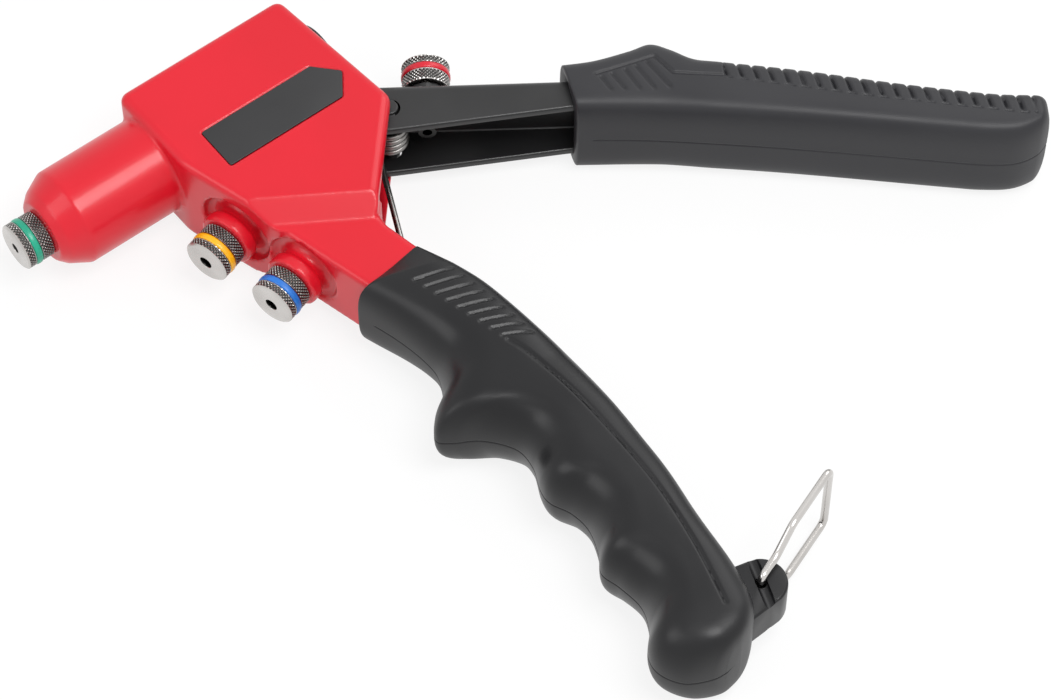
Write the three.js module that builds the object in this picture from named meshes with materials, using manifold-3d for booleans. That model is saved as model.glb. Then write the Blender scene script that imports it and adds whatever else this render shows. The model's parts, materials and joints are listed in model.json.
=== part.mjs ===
// Hand riveter lying on its side: a cast head with a nose barrel, a squeezing lever, a fixed
// grip, a jaw case inside the barrel and four screw-in nosepieces, one fitted and three stored.
//
// Frame while modelling, in millimetres: the nose axis is the X axis with the nose at +X, the
// fixed grip runs towards +Y, and Z = 0 is the middle plane of the flat tool. At the end the
// whole group is lifted so that the tool lies on Z = 0 with its footprint centred on the origin.

import * as THREE from 'three';
import { mergeVertices } from 'three/addons/utils/BufferGeometryUtils.js';
import Module from 'manifold-3d';

const wasm = await Module();
wasm.setup();

// ---------------------------------------------------------------- driving dimensions

const gap = 0.3;                 // running clearance between neighbouring pieces
const round = 28;                // facets round a turned piece
const smallRound = 20;           // facets round a small turned piece

const headHalf = 15;             // half thickness of the head
const headTopY = -13.5;          // edge of the head on the far side of the nose axis
const headRearX = -10.3;         // rear edge of the head where it meets that side
const headFrontX = 39.8;         // front face of the head
const headBevel = 3;             // rounded edge of the head
const labelDepth = 0.8;          // recess for the label plate
const armHalf = 11;              // half thickness of the fixed arm
const armTilt = 16.5;            // degrees the arm leans back from +Y
const armFrontFoot = [24.2, 65]; // a point on the arm's front edge, at the grip's mouth
const armWidth = 16.6;           // arm width at the grip's mouth
const coreEndY = 154;            // end of the arm, inside the grip
const barrelRadius = 13;         // nose barrel
const barrelShoulderX = 66;      // where the barrel starts to taper
const seatX = 73.2;              // seat of the fitted nosepiece
const seatRadius = 8.5;          // barrel face round that seat
const seatThread = 9.2;          // length of the thread behind that seat
const boreRadius = 9;            // bore that guides the jaw case
const boreEndX = seatX - seatThread; // front end of that bore

const pivot = [10, 15.5];        // main pivot of the lever
const pinRadius = 3;
const pinHeadRadius = 5;
const pinShoulder = 13.2;        // depth of the pin head's seat below the middle plane
const pinFit = 0.1;              // clearance of the pin in the head
const leverThrow = 16.5;         // from the pivot to the fork's working tip
const leverSwing = 30;           // degrees that the lever turns when it is squeezed
const forkTipRadius = 3.5;

const channelStart = [-17.7, 22.1];  // a point on the lever channel's back line
const channelAngle = 144.2;          // degrees, direction of that line towards the hand
const channelHalf = 10.2;            // half width across the flanges
const sheet = 2.2;                   // sheet thickness of the channel
const channelDepth = 14.8;           // flange depth at the channel's start
const channelTipDepth = 9.2;         // flange depth where the channel enters its grip
const channelMouth = 46.7;           // distance from the start to the moving grip's mouth
const channelLength = 95;            // distance from the start to the channel's end
const earRadius = 8.5;               // channel ear round the main pivot
const webStart = -14;                // where the web begins, inside the head
const springPinRadius = 2.2;
const springPinHead = 0.8;           // how far that pin stands out of the channel
const springWire = 0.8;
const springRadius = 3.9;            // to the middle of the wire
const springTurns = 4;
const cavityHalf = channelHalf + springPinHead + gap; // half width of the slot in the head

const knurlRadius = 6.25;        // nosepiece head
const knurlLength = 8;
const stemRadius = 3.3;          // threaded stem
const stemLength = 8;
const tailLength = 4.5;          // plain tail that holds the jaws open
const ringWidth = 1.5;
const ringFromSeat = 3.5;        // knurled band between the seat and the ring groove
const ringGrooveDepth = 1.25;
const mandrelHoles = { green: 1.3, yellow: 1.7, blue: 1.65, red: 1.15 };
const threadRadius = stemRadius + gap;

const storeFaces = [[46.5, 32.6], [41.1, 52.7]];   // face centres of the two stored on the arm
const bossRadius = knurlRadius + 1.15;
const bossFlare = bossRadius + 2.2;
const bossCollar = 3.2;          // length of the collar under a stored nosepiece
const nutAt = 9.9;               // distance of the storage nut along the channel's back line
const nutRadius = 5.6;
const nutHeight = 3.8;

const caseRadius = boreRadius - gap;
const caseWall = 1.5;
const caseInner = caseRadius - caseWall;
const caseFrontX = 61.5;
const caseRearX = 33;            // joint between its two halves
const caseTailX = 2;             // its rear end
const coneLength = 13.5;
const coneMouth = 4.2;           // opening radius of the jaw case
const caseNeck = 1.3;            // how much slimmer than the case its neck is
const neckRadius = caseRadius - caseNeck;
const collarRadius = 10.2;       // collar that the lever's fork pushes
const collarLength = 3;
const caseTailRadius = 4.6;      // tail that the return spring is threaded on
const jawLength = 11;
const jawTravel = 1.2;           // along the cone, from open to closed
const jawSetback = 1.3;          // from the jaw case's face to the jaws
const jawBore = 1.3;
const pusherLength = 12;
const pusherFlange = 2.6;
const tailRoom = 3.6;            // between the pusher's tail and the case's wall, for the spring
const pusherTail = caseInner - tailRoom;
const pusherWire = 0.5;
const returnWire = 0.65;
const channelBore = 2.4;         // way for the spent mandrels through the jaw case
const plugRadius = collarRadius + 0.1;
const plugFlange = plugRadius + 0.7;
const plugFaceX = -9.4;          // where the return spring rests
const exitRadius = 1.9;

const gripHalf = 14;             // half thickness of the two grips
const gripWallGap = 0.35;        // between a grip and the metal inside it
const lugCentre = [-1.4, 189.3];
const lugRadius = 6.4;
const lugHalf = 5.8;
const lugHole = 1.6;
const wire = 1;                  // radius of the bail wire
const bailReach = 31.5;          // from the lug's hole to the crossbar
const bailHalf = 12;             // half width of the bail
const bailAngle = 199.9;         // degrees, direction in which the bail lies

// ---------------------------------------------------------------- helpers

const deg = Math.PI / 180;
const dir = (degrees) => [Math.cos(degrees * deg), Math.sin(degrees * deg)];
const along = (start, direction, s, side = 0) => [
  start[0] + direction[0] * s - direction[1] * side,
  start[1] + direction[1] * s + direction[0] * side,
];
const vec2 = ([x, y]) => new THREE.Vector2(x, y);

// A closed three.js geometry becomes a solid that can be joined and cut.
function solid(geometry) {
  const bare = geometry.clone();
  bare.deleteAttribute('normal');
  bare.deleteAttribute('uv');
  const merged = mergeVertices(bare, 1e-4);
  const mesh = new wasm.Mesh({
    numProp: 3,
    vertProperties: new Float32Array(merged.attributes.position.array),
    triVerts: new Uint32Array(merged.index.array),
  });
  mesh.merge();
  return new wasm.Manifold(mesh);
}

// A solid goes back to a three.js geometry.
function geometryOf(body) {
  const mesh = body.getMesh();
  const geometry = new THREE.BufferGeometry();
  geometry.setAttribute('position', new THREE.BufferAttribute(mesh.vertProperties, 3));
  geometry.setIndex(new THREE.BufferAttribute(mesh.triVerts, 1));
  geometry.computeVertexNormals();
  return geometry;
}

const join = (first, ...others) => others.reduce((sum, item) => sum.add(item), first);
const cut = (first, ...others) => others.reduce((rest, item) => rest.subtract(item), first);

// Points on an arc, from one direction in degrees to another.
const arc = (centre, radius, from, to, steps = 8) => Array.from({ length: steps + 1 }, (_, k) => (
  along(centre, dir(from + (to - from) * k / steps), radius)));

// A flat outline in the XY plane, extruded from z0 to z1.
function prism(outline, z0, z1) {
  const shape = new THREE.Shape(outline.map(vec2));
  const geometry = new THREE.ExtrudeGeometry(shape, { depth: z1 - z0, bevelEnabled: false });
  geometry.translate(0, 0, z0);
  return geometry;
}

// A prism with rounded edges: the outline given is its widest one.
function softPrism(outline, half, bevel, segments = 2) {
  const shape = new THREE.Shape(outline.map(vec2));
  const geometry = new THREE.ExtrudeGeometry(shape, {
    depth: 2 * (half - bevel),
    bevelThickness: bevel,
    bevelSize: bevel,
    bevelOffset: -bevel,
    bevelSegments: segments,
  });
  geometry.translate(0, 0, -(half - bevel));
  return geometry;
}

// An outline whose listed corners are rounded: each point is [x, y, radius].
function rounded(points, steps = 5) {
  const outline = [];
  points.forEach(([x, y, radius = 0], i) => {
    if (radius === 0) {
      outline.push([x, y]);
      return;
    }
    const corner = new THREE.Vector2(x, y);
    const before = vec2(points[(i + points.length - 1) % points.length]).sub(corner).normalize();
    const after = vec2(points[(i + 1) % points.length]).sub(corner).normalize();
    const half = Math.acos(before.dot(after)) / 2;
    const reach = radius / Math.tan(half);
    const start = corner.clone().addScaledVector(before, reach);
    const end = corner.clone().addScaledVector(after, reach);
    const centre = corner.clone().addScaledVector(before.clone().add(after).normalize(),
      radius / Math.sin(half));
    const from = Math.atan2(start.y - centre.y, start.x - centre.x);
    let turn = Math.atan2(end.y - centre.y, end.x - centre.x) - from;
    turn -= 2 * Math.PI * Math.round(turn / (2 * Math.PI));
    for (let k = 0; k <= steps; k += 1) {
      const angle = from + turn * k / steps;
      outline.push([centre.x + radius * Math.cos(angle), centre.y + radius * Math.sin(angle)]);
    }
  });
  return outline;
}

// A turned piece: profile points are [distance along the axis, radius].
// It starts at `at`, in the middle plane, and runs in the XY direction of `degrees`.
function turned(profile, at = [0, 0], degrees = 0, segments = round) {
  const points = profile.map(([length, radius]) => new THREE.Vector2(radius, length));
  const geometry = new THREE.LatheGeometry(points, segments);
  geometry.rotateZ(-Math.PI / 2);
  geometry.rotateX(Math.PI / segments);
  geometry.rotateZ(degrees * deg);
  geometry.translate(at[0], at[1], 0);
  return geometry;
}

// A turned piece whose axis stands along Z through the point `at`.
function upright(profile, at, segments = smallRound) {
  const points = profile.map(([z, radius]) => new THREE.Vector2(radius, z));
  const geometry = new THREE.LatheGeometry(points, segments);
  geometry.rotateX(Math.PI / 2);
  geometry.translate(at[0], at[1], 0);
  return geometry;
}

const disc = (z0, z1, radius) => [[z0, 0], [z0, radius], [z1, radius], [z1, 0]];

// A round wire along a curve.
function wireAlong(curve, radius, steps, sides = 6) {
  const section = new THREE.Shape();
  for (let k = 0; k < sides; k += 1) {
    const angle = 2 * Math.PI * k / sides;
    const point = [radius * Math.cos(angle), radius * Math.sin(angle)];
    if (k === 0) section.moveTo(...point);
    else section.lineTo(...point);
  }
  return new THREE.ExtrudeGeometry(section, { steps, bevelEnabled: false, extrudePath: curve });
}

// A coil spring's centre line about the X axis.
class AxialHelix extends THREE.Curve {
  constructor(x0, x1, radius, turns) {
    super();
    Object.assign(this, { x0, x1, radius, turns });
  }

  getPoint(t, target = new THREE.Vector3()) {
    const angle = 2 * Math.PI * this.turns * t;
    return target.set(this.x0 + (this.x1 - this.x0) * t,
      this.radius * Math.cos(angle), this.radius * Math.sin(angle));
  }
}

// A closed skin through rings of points, all with the same number of points.
function skin(rings) {
  const count = rings[0].length;
  const positions = rings.flat(2);
  const index = [];
  for (let i = 0; i + 1 < rings.length; i += 1) {
    for (let k = 0; k < count; k += 1) {
      const a = i * count + k;
      const b = i * count + (k + 1) % count;
      index.push(a, b, b + count, a, b + count, a + count);
    }
  }
  [[0, -1], [rings.length - 1, 1]].forEach(([ring, sense]) => {
    const middle = [0, 1, 2].map((axis) => rings[ring].reduce((sum, p) => sum + p[axis], 0) / count);
    positions.push(...middle);
    const centre = positions.length / 3 - 1;
    for (let k = 0; k < count; k += 1) {
      const a = ring * count + k;
      const b = ring * count + (k + 1) % count;
      index.push(...(sense > 0 ? [a, b, centre] : [b, a, centre]));
    }
  });
  const geometry = new THREE.BufferGeometry();
  geometry.setAttribute('position', new THREE.Float32BufferAttribute(positions, 3));
  geometry.setIndex(index);
  return geometry;
}

// A grip: each station gives the back point, the front point and the half thickness, and the
// section between them is a squarish oval.
function gripSkin(stations, squareness, count = 20) {
  return skin(stations.map(({ back, front, half }) => {
    const ring = [];
    for (let k = 0; k < count; k += 1) {
      const angle = 2 * Math.PI * k / count;
      const c = Math.cos(angle);
      const s = -Math.sin(angle);
      const across = 0.5 + 0.5 * Math.sign(c) * Math.abs(c) ** (2 / squareness);
      const up = Math.sign(s) * Math.abs(s) ** (2 / squareness) * half;
      ring.push([back[0] + (front[0] - back[0]) * across, back[1] + (front[1] - back[1]) * across, up]);
    }
    return ring;
  }));
}

const model = new THREE.Group();

function add(name, geometry, color, roughness, metalness, parent = model) {
  const material = new THREE.MeshStandardMaterial({ color, roughness, metalness });
  const mesh = new THREE.Mesh(geometry, material);
  mesh.name = name;
  parent.add(mesh);
  return mesh;
}

const red = [0xdf1f2d, 0.35, 0.1];
const steel = [0xb9b9b6, 0.3, 0.9];
const blackSteel = [0x2c2c2d, 0.45, 0.4];
const springSteel = [0x8b8b88, 0.35, 0.9];
const darkPlastic = [0x2b2b2d, 0.6, 0];
const greyPlastic = [0x3c3c40, 0.55, 0];
const labelGrey = [0x3a3a3c, 0.5, 0];

// ---------------------------------------------------------------- body casting

const armNormal = dir(armTilt);                        // away from the arm's front edge
const armDirection = [-armNormal[1], armNormal[0]];    // along the arm, towards the hand
const onArm = (s, side) => along(armFrontFoot, armDirection, s, side);
const frontAt = (y) => armFrontFoot[0] - (y - armFrontFoot[1]) * Math.tan(armTilt * deg);

// The arm's core bends back inside the grip. `grow` widens the outline for the grip's pocket.
function coreOutline(grow) {
  const foot = onArm(0, 0);
  const heel = onArm(8, armWidth);
  return [
    [foot[0] + grow, foot[1]],
    [16.4 + grow, 96],
    [14 + grow, 122],
    [14.5 + grow, coreEndY + grow],
    [2 - grow, coreEndY + grow],
    [0.6 - grow, 122],
    [2 - grow, 98],
    [heel[0] - grow, heel[1]],
    [8.3 - grow, 57],
  ];
}

function bodyCasting() {
  const head = rounded([
    [headRearX, headTopY, headBevel + 1],
    [headFrontX, headTopY, headBevel + 1],
    [frontAt(14), 14],
    [frontAt(36), 36, headBevel + 1],
    [8.5, 52.5, headBevel + 2],
    [-14.5, 28.3, headBevel + 1.5],
  ]);
  const arm = [
    [frontAt(24) - 1.5, 24],
    ...coreOutline(0),
    [8, 53.5], [5, 50], [0, 45], [0, 24],
  ];
  const taper = (share, fall) => [
    barrelShoulderX + (seatX - barrelShoulderX) * share,
    barrelRadius + (seatRadius - barrelRadius) * fall,
  ];
  const barrel = [
    [30, 0], [30, barrelRadius], taper(0, 0), taper(0.42, 0.2), taper(0.75, 0.58), taper(1, 1), [seatX, 0],
  ];
  const bossFoot = -knurlLength - 6;
  const bosses = storeFaces.map((face) => solid(turned([
    [bossFoot, 0], [bossFoot, bossFlare], [bossFoot + 0.6, bossFlare],
    [-knurlLength - bossCollar, bossRadius], [-knurlLength, bossRadius], [-knurlLength, 0],
  ], face, armTilt, smallRound)));
  const cavity = prism([
    [-7, -10.6], [28, -10.6], [28, 9.5], [23, 27], [9, 44.5], [-6, 66], [-45, 50], [-40, 12.2], [-7, 12.2],
  ], -cavityHalf, cavityHalf);
  const caseBore = turned(disc(24, boreEndX, boreRadius));
  const noseThread = turned(disc(boreEndX - 2, seatX + 5, threadRadius), [0, 0], 0, smallRound);
  const storeEnd = -knurlLength - stemLength - tailLength - gap;
  const stores = storeFaces.map((face) => (
    solid(turned(disc(storeEnd, 1, threadRadius), face, armTilt, smallRound))));
  const plugHole = turned(disc(-20, -5, plugRadius + gap));
  const pinHole = upright([[-20, 0], [-20, pinHeadRadius + gap], [gap - pinShoulder, pinHeadRadius + gap],
    [gap - pinShoulder, pinRadius + pinFit], [20, pinRadius + pinFit], [20, 0]], pivot);
  const labelRecess = prism(labelOutline(gap), headHalf - labelDepth, headHalf + 2);
  return cut(
    join(solid(softPrism(head, headHalf, headBevel)), solid(prism(arm, -armHalf, armHalf)),
      solid(turned(barrel)), ...bosses),
    solid(cavity), solid(caseBore), solid(noseThread), ...stores, solid(plugHole), solid(pinHole),
    solid(labelRecess),
  );
}

// ---------------------------------------------------------------- label plate

// A blank plate with a blunt point at the rear end.
function labelOutline(grow) {
  return [
    [29.8 + grow, 9 - grow], [29.8 + grow, 21.6 + grow], [-4.6 - grow / 2, 21.6 + grow],
    [-9 - grow, 15.5 + grow / 2], [-9 - grow, 14.8 - grow / 2], [-3.6 - grow / 2, 9 - grow],
  ];
}

add('body_casting', geometryOf(bodyCasting()), ...red);
add('label_plate', prism(labelOutline(0), headHalf - labelDepth + gap, headHalf), ...labelGrey);

// ---------------------------------------------------------------- pins and plug

const pinBottom = 0.1 - headHalf;
const pinTop = headHalf - labelDepth - 0.1;
add('pivot_pin', upright([[pinBottom, 0], [pinBottom, pinHeadRadius], [-pinShoulder, pinHeadRadius],
  [-pinShoulder, pinRadius], [pinTop, pinRadius], [pinTop, 0]], pivot), ...steel);

const flangeX = headRearX - 2.65;
const flangeEdge = 0.6;
const springSeatRadius = 8;
add('rear_plug', turned([[flangeX - flangeEdge, exitRadius + 2.2], [flangeX - flangeEdge, plugFlange - 0.6],
  [flangeX - 0.3, plugFlange], [flangeX, plugFlange], [flangeX, plugRadius], [plugFaceX + 2.4, plugRadius],
  [plugFaceX + 2.4, springSeatRadius], [plugFaceX, springSeatRadius], [plugFaceX, exitRadius],
  [flangeX + 0.2, exitRadius], [flangeX - flangeEdge, exitRadius + 2.2]]), ...blackSteel);

// ---------------------------------------------------------------- lever channel

const channelDirection = dir(channelAngle);
// A point `s` along the channel's back line and `depth` from it towards the fixed grip.
const onChannel = (s, depth) => along(channelStart, channelDirection, s, -depth);
const forkTip = [
  pivot[0] + leverThrow * Math.sin(leverSwing / 2 * deg),
  pivot[1] - leverThrow * Math.cos(leverSwing / 2 * deg),
];
const collarFrontX = forkTip[0] - forkTipRadius - gap;
const springPinAt = onChannel(0.6, 7.9);
const nutPlace = [onChannel(nutAt, 0), channelAngle + 90];

function leverChannel() {
  const flange = [
    onChannel(channelLength, 0),
    onChannel(webStart, 0),
    [forkTip[0] - forkTipRadius, 7.2],
    ...arc(forkTip, forkTipRadius, 180, 360),
    ...arc(pivot, earRadius, channelAngle - 165, channelAngle - 90),
    onChannel(0, channelDepth),
    onChannel(channelMouth, channelTipDepth),
    onChannel(channelLength, channelTipDepth),
  ];
  const hollow = [
    onChannel(channelLength + 5, sheet), onChannel(webStart, sheet), onChannel(webStart, -30),
    [60, -30], [60, 60], onChannel(channelLength + 5, 60),
  ];
  return cut(
    solid(prism(flange, -channelHalf, channelHalf)),
    solid(prism(hollow, -channelHalf + sheet, channelHalf - sheet)),
    solid(upright(disc(-20, 20, pinRadius + gap), pivot)),
    solid(upright(disc(-20, 20, springPinRadius + gap), springPinAt)),
    solid(turned(disc(-5, 5, threadRadius), ...nutPlace, smallRound)),
  );
}

add('lever_channel', geometryOf(leverChannel()), ...blackSteel);

const rivetEnd = [[gap, springPinRadius], [gap, springPinRadius + 0.9],
  [springPinHead, springPinRadius + 0.4], [springPinHead, 0]];
const rivetHalf = rivetEnd.map(([out, radius]) => [channelHalf + out, radius]);
const rivetMirror = rivetHalf.slice().reverse().map(([z, radius]) => [-z, radius]);
add('spring_pin', upright([...rivetMirror, ...rivetHalf], springPinAt, 16), ...blackSteel);

// The handle spring: a coil on its pin, one leg along the channel's web and one on the arm.
function handleSpring() {
  const pitch = 2 * springWire + 0.3;
  const low = -pitch * springTurns / 2;
  const armEnd = [2.6, 54.4];            // where the long leg rests on the arm
  const towardsArm = vec2(armEnd).sub(vec2(springPinAt));
  const legAngle = towardsArm.angle() / deg;
  const offset = Math.acos(springRadius / towardsArm.length()) / deg;
  const start = legAngle + offset;
  const end = channelAngle + 90;
  const turns = springTurns - ((start - end + 720) % 360) / 360;
  const points = [new THREE.Vector3(armEnd[0], armEnd[1], low)];
  const first = along(springPinAt, dir(start), springRadius);
  points.push(new THREE.Vector3((armEnd[0] + first[0]) / 2, (armEnd[1] + first[1]) / 2, low));
  const count = Math.round(turns * 12);
  for (let k = 0; k <= count; k += 1) {
    const place = along(springPinAt, dir(start - 360 * turns * k / count), springRadius);
    points.push(new THREE.Vector3(place[0], place[1], low + 2 * Math.abs(low) * k / count));
  }
  const last = along(springPinAt, dir(start - 360 * turns), springRadius);
  const legRise = 1.6;                   // clears the stem of the nosepiece stored on the channel
  [6, 13].forEach((reach) => {
    const place = along(last, channelDirection, reach);
    points.push(new THREE.Vector3(place[0], place[1], -low + legRise));
  });
  return wireAlong(new THREE.CatmullRomCurve3(points, false, 'centripetal'), springWire, 90);
}
add('handle_spring', handleSpring(), ...springSteel);

// ---------------------------------------------------------------- nosepieces

// A knurled head with a ring groove, a threaded stem and a lead hole. The axis starts at the seat.
function nosepiece(hole) {
  const end = -stemLength - tailLength;
  const groove = knurlRadius - ringGrooveDepth;
  const ringStart = ringFromSeat;
  const ringEnd = ringStart + ringWidth + 2 * gap;
  return [
    [end, hole], [end, stemRadius - 1], [-stemLength, stemRadius - 0.6],
    [-stemLength, stemRadius], [0.2, stemRadius], [0.2, knurlRadius], [ringStart, knurlRadius],
    [ringStart, groove], [ringEnd, groove], [ringEnd, knurlRadius], [knurlLength - 0.7, knurlRadius],
    [knurlLength, knurlRadius - 1.1], [knurlLength, hole + 0.5], [knurlLength - 0.8, hole],
    [end, hole],
  ];
}
const ringProfile = () => {
  const start = ringFromSeat + gap;
  const inner = knurlRadius - ringGrooveDepth + gap;
  return [
    [start, inner], [start, knurlRadius - 0.1], [start + ringWidth / 2, knurlRadius + 0.1],
    [start + ringWidth, knurlRadius - 0.1], [start + ringWidth, inner], [start, inner],
  ];
};

const nutSeat = onChannel(nutAt, -nutHeight - gap);
const storeSeats = storeFaces.map((face) => along(face, dir(armTilt), -knurlLength));
const nosepieces = [
  { tone: 'green', color: 0x10a283, seat: [seatX, 0], angle: 0 },
  { tone: 'yellow', color: 0xf5b417, seat: storeSeats[0], angle: armTilt },
  { tone: 'blue', color: 0x1f74cc, seat: storeSeats[1], angle: armTilt },
  { tone: 'red', color: 0xcf1a32, seat: nutSeat, angle: channelAngle + 90 },
];
nosepieces.forEach(({ tone, color, seat, angle }) => {
  add(`nosepiece_${tone}`, turned(nosepiece(mandrelHoles[tone]), seat, angle, smallRound), ...steel);
  add(`ring_${tone}`, turned(ringProfile(), seat, angle, smallRound), color, 0.4, 0);
});

// The nut that stores the red nosepiece on the back of the channel.
add('storage_nut', geometryOf(cut(
  solid(turned(disc(gap, nutHeight, nutRadius), ...nutPlace, 6)),
  solid(turned(disc(-1, nutHeight + 1, threadRadius), ...nutPlace, smallRound)),
)), ...blackSteel);

// ---------------------------------------------------------------- jaw case

const coneSlope = (caseRadius - caseWall - coneMouth) / coneLength;
const coneBackX = caseFrontX - coneLength;
add('jaw_case_front', turned([[caseRearX, caseInner], [caseRearX, caseRadius],
  [caseFrontX - 2, caseRadius], [caseFrontX, caseRadius - 1.2], [caseFrontX, coneMouth],
  [coneBackX, caseInner], [caseRearX, caseInner]]), ...steel);

const spigotX = caseRearX + 3.5;
const counterbore = 8;           // hole in the rear half's front end, for the jaw pusher's tail
add('jaw_case_rear', turned([[caseTailX, channelBore], [caseTailX, caseTailRadius],
  [collarFrontX - collarLength, caseTailRadius], [collarFrontX - collarLength, collarRadius],
  [collarFrontX, collarRadius], [collarFrontX, neckRadius], [caseRearX - 3, neckRadius],
  [caseRearX - 3, caseRadius], [caseRearX - gap, caseRadius], [caseRearX - gap, caseInner - gap],
  [spigotX, caseInner - gap], [spigotX, pusherTail + 0.6], [spigotX - counterbore, pusherTail + 0.6],
  [spigotX - counterbore, channelBore], [caseTailX, channelBore]]), ...steel);

// Three jaws: wedges that slide on the cone and close on the mandrel.
function jaw(turn) {
  const front = caseFrontX - jawSetback;
  const rear = front - jawLength;
  const clear = 0.35;
  const outerAt = (x) => coneMouth + (caseFrontX - x) * coneSlope - clear;
  const ring = solid(turned([[rear, jawBore], [rear, outerAt(rear)], [front, outerAt(front)],
    [front, jawBore], [rear, jawBore]], [0, 0], 0, 24));
  const halfSlot = 0.55;         // half the space between two jaws
  const corner = [halfSlot / Math.sin(60 * deg), 0];
  const far = 2 * caseRadius;
  const wedge = prism([corner, along(corner, dir(-60), far), along(corner, dir(60), far)],
    rear - 1, front + 1);
  wedge.rotateX(Math.PI / 2);
  wedge.rotateZ(Math.PI / 2);
  wedge.rotateX(turn * deg);
  return geometryOf(solid(wedge).intersect(ring));
}
[0, 120, 240].forEach((turn, i) => add(`jaw_${i + 1}`, jaw(turn), ...steel));

const pusherFaceX = caseFrontX - jawSetback - jawLength - gap;
const pusherBackX = pusherFaceX - pusherFlange;
const pusherEndX = pusherFaceX - pusherLength;
const pusherRadius = caseInner - 0.4 - jawTravel * coneSlope;
const pusherBore = 1.5;
add('jaw_pusher', turned([[pusherEndX, pusherBore], [pusherEndX, pusherTail], [pusherBackX, pusherTail],
  [pusherBackX, pusherRadius], [pusherFaceX, pusherRadius], [pusherFaceX, pusherBore],
  [pusherEndX, pusherBore]], [0, 0], 0, smallRound), ...steel);

// A coil spring between two faces across the X axis, round a core of the given radius.
function coilBetween(x0, x1, core, wireRadius, turns, steps) {
  const end = gap + wireRadius;
  return wireAlong(new AxialHelix(x0 + end, x1 - end, core + wireRadius, turns), wireRadius, steps);
}
add('pusher_spring', coilBetween(spigotX, pusherBackX, pusherTail + 1.2, pusherWire, 4, 40),
  ...springSteel);
add('return_spring', coilBetween(plugFaceX, collarFrontX - collarLength, caseTailRadius + 1.5,
  returnWire, 5, 60), ...springSteel);

// ---------------------------------------------------------------- moving grip

// Depths are measured from the channel's back line, distances along it from the mouth.
function movingGrip() {
  const backLine = new THREE.SplineCurve([[44, -4.4], [52, -5.6], [61, -8.6], [66.5, -10.8],
    [71.5, -8.8], [77, -5.5], [84, -4.2], [104, -0.7], [128, 4.5], [150, 8.6], [163, 10.2],
    [166, 12.6]].map(vec2));
  const frontLine = new THREE.SplineCurve([[48, 12.4], [60, 12.8], [72, 13.7], [96, 16.4],
    [120, 19.7], [142, 22.9], [150, 23.9], [157.5, 23.8], [163, 21.4], [165.8, 18]].map(vec2));
  const count = 30;
  const stations = [];
  for (let i = 0; i <= count; i += 1) {
    const t = i / count;
    const back = backLine.getPointAt(t);
    const front = frontLine.getPointAt(t);
    const end = Math.min(1, (1 - t) / 0.035);
    stations.push({
      back: onChannel(back.x, back.y),
      front: onChannel(front.x, front.y),
      half: gripHalf * (0.55 + 0.45 * Math.sqrt(end * (2 - end))),
    });
  }
  const pocket = prism([
    onChannel(channelMouth - 12, -gripWallGap), onChannel(channelLength + gripWallGap, -gripWallGap),
    onChannel(channelLength + gripWallGap, channelTipDepth + gripWallGap),
    onChannel(channelMouth, channelTipDepth + gripWallGap),
    onChannel(channelMouth - 12, channelTipDepth + gripWallGap + 1.5),
  ], -channelHalf - gripWallGap, channelHalf + gripWallGap);
  return cut(solid(gripSkin(stations, 3.6)), solid(pocket));
}
add('moving_grip', geometryOf(movingGrip()), ...greyPlastic);

// ---------------------------------------------------------------- fixed grip

function fixedGrip() {
  const backLine = new THREE.SplineCurve([[0.4, 76], [-1.2, 86], [-2.9, 99.2], [-4.2, 114],
    [-4.1, 132], [-2.7, 152], [0, 170], [1.8, 184], [4.4, 193.5], [9, 198.8], [13.2, 200.8]].map(vec2));
  const frontLine = new THREE.SplineCurve([[26.3, 68.7], [23.1, 79.4], [21.5, 88.7], [21.8, 95.2],
    [25.8, 100.8], [31, 104.8], [33.2, 108.8], [30.2, 112], [24.3, 115.8], [19.4, 122.6],
    [19.3, 129], [21.9, 135.4], [22.2, 139.6], [20, 145], [19.6, 151], [21.8, 157.4],
    [24.7, 162.2], [23.6, 167.8], [23, 175], [25.4, 181], [30, 186.2], [30.8, 191.4],
    [27.8, 197.2], [22, 200.6], [18, 201.2]].map(vec2));
  const count = 44;
  const stations = [];
  for (let i = 0; i <= count; i += 1) {
    const t = i / count;
    const back = backLine.getPointAt(t);
    const front = frontLine.getPointAt(t);
    const end = Math.min(1, (1 - t) / 0.09);
    const swell = 0.7 * Math.exp(-(((t - 0.9) / 0.07) ** 2));    // the heel of the grip
    stations.push({
      back: [back.x, back.y],
      front: [front.x, front.y],
      half: gripHalf * (0.5 + 0.5 * Math.sqrt(end * (2 - end))) + swell,
    });
  }
  const lug = upright(disc(-lugHalf, lugHalf, lugRadius), lugCentre, 24);
  const root = prism([[-1.4, 183], [8, 180], [10, 196], [-1.4, 195.6]], -lugHalf, lugHalf);
  const pocket = prism([onArm(-9, -gripWallGap), ...coreOutline(gripWallGap)], -armHalf - gripWallGap,
    armHalf + gripWallGap);
  return cut(
    join(solid(gripSkin(stations, 2.8)), solid(lug), solid(root)),
    solid(pocket),
    solid(upright(disc(-20, 20, lugHole), lugCentre, 12)),
  );
}
add('fixed_grip', geometryOf(fixedGrip()), ...darkPlastic);

// ---------------------------------------------------------------- bail

// One bent wire whose two ends meet inside the lug's hole.
function bailWire() {
  const direction = dir(bailAngle);
  const at = (reach, z) => {
    const place = along(lugCentre, direction, reach);
    return new THREE.Vector3(place[0], place[1], z);
  };
  const side = [[0, 0.2], [0, 5.4], [0.9, 7.1], [6.5, 8.1], [13.6, bailHalf - 0.2], [15.4, bailHalf],
    [22, bailHalf], [bailReach - 1.2, bailHalf], [bailReach, bailHalf - 1.2], [bailReach, 6]];
  const points = [...side, ...side.slice().reverse().map(([reach, z]) => [reach, -z])];
  const curve = new THREE.CatmullRomCurve3(points.map(([reach, z]) => at(reach, z)), false, 'centripetal');
  return wireAlong(curve, wire, 70, 8);
}
add('bail', bailWire(), ...steel);

// ---------------------------------------------------------------- place in the part's frame

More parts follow.
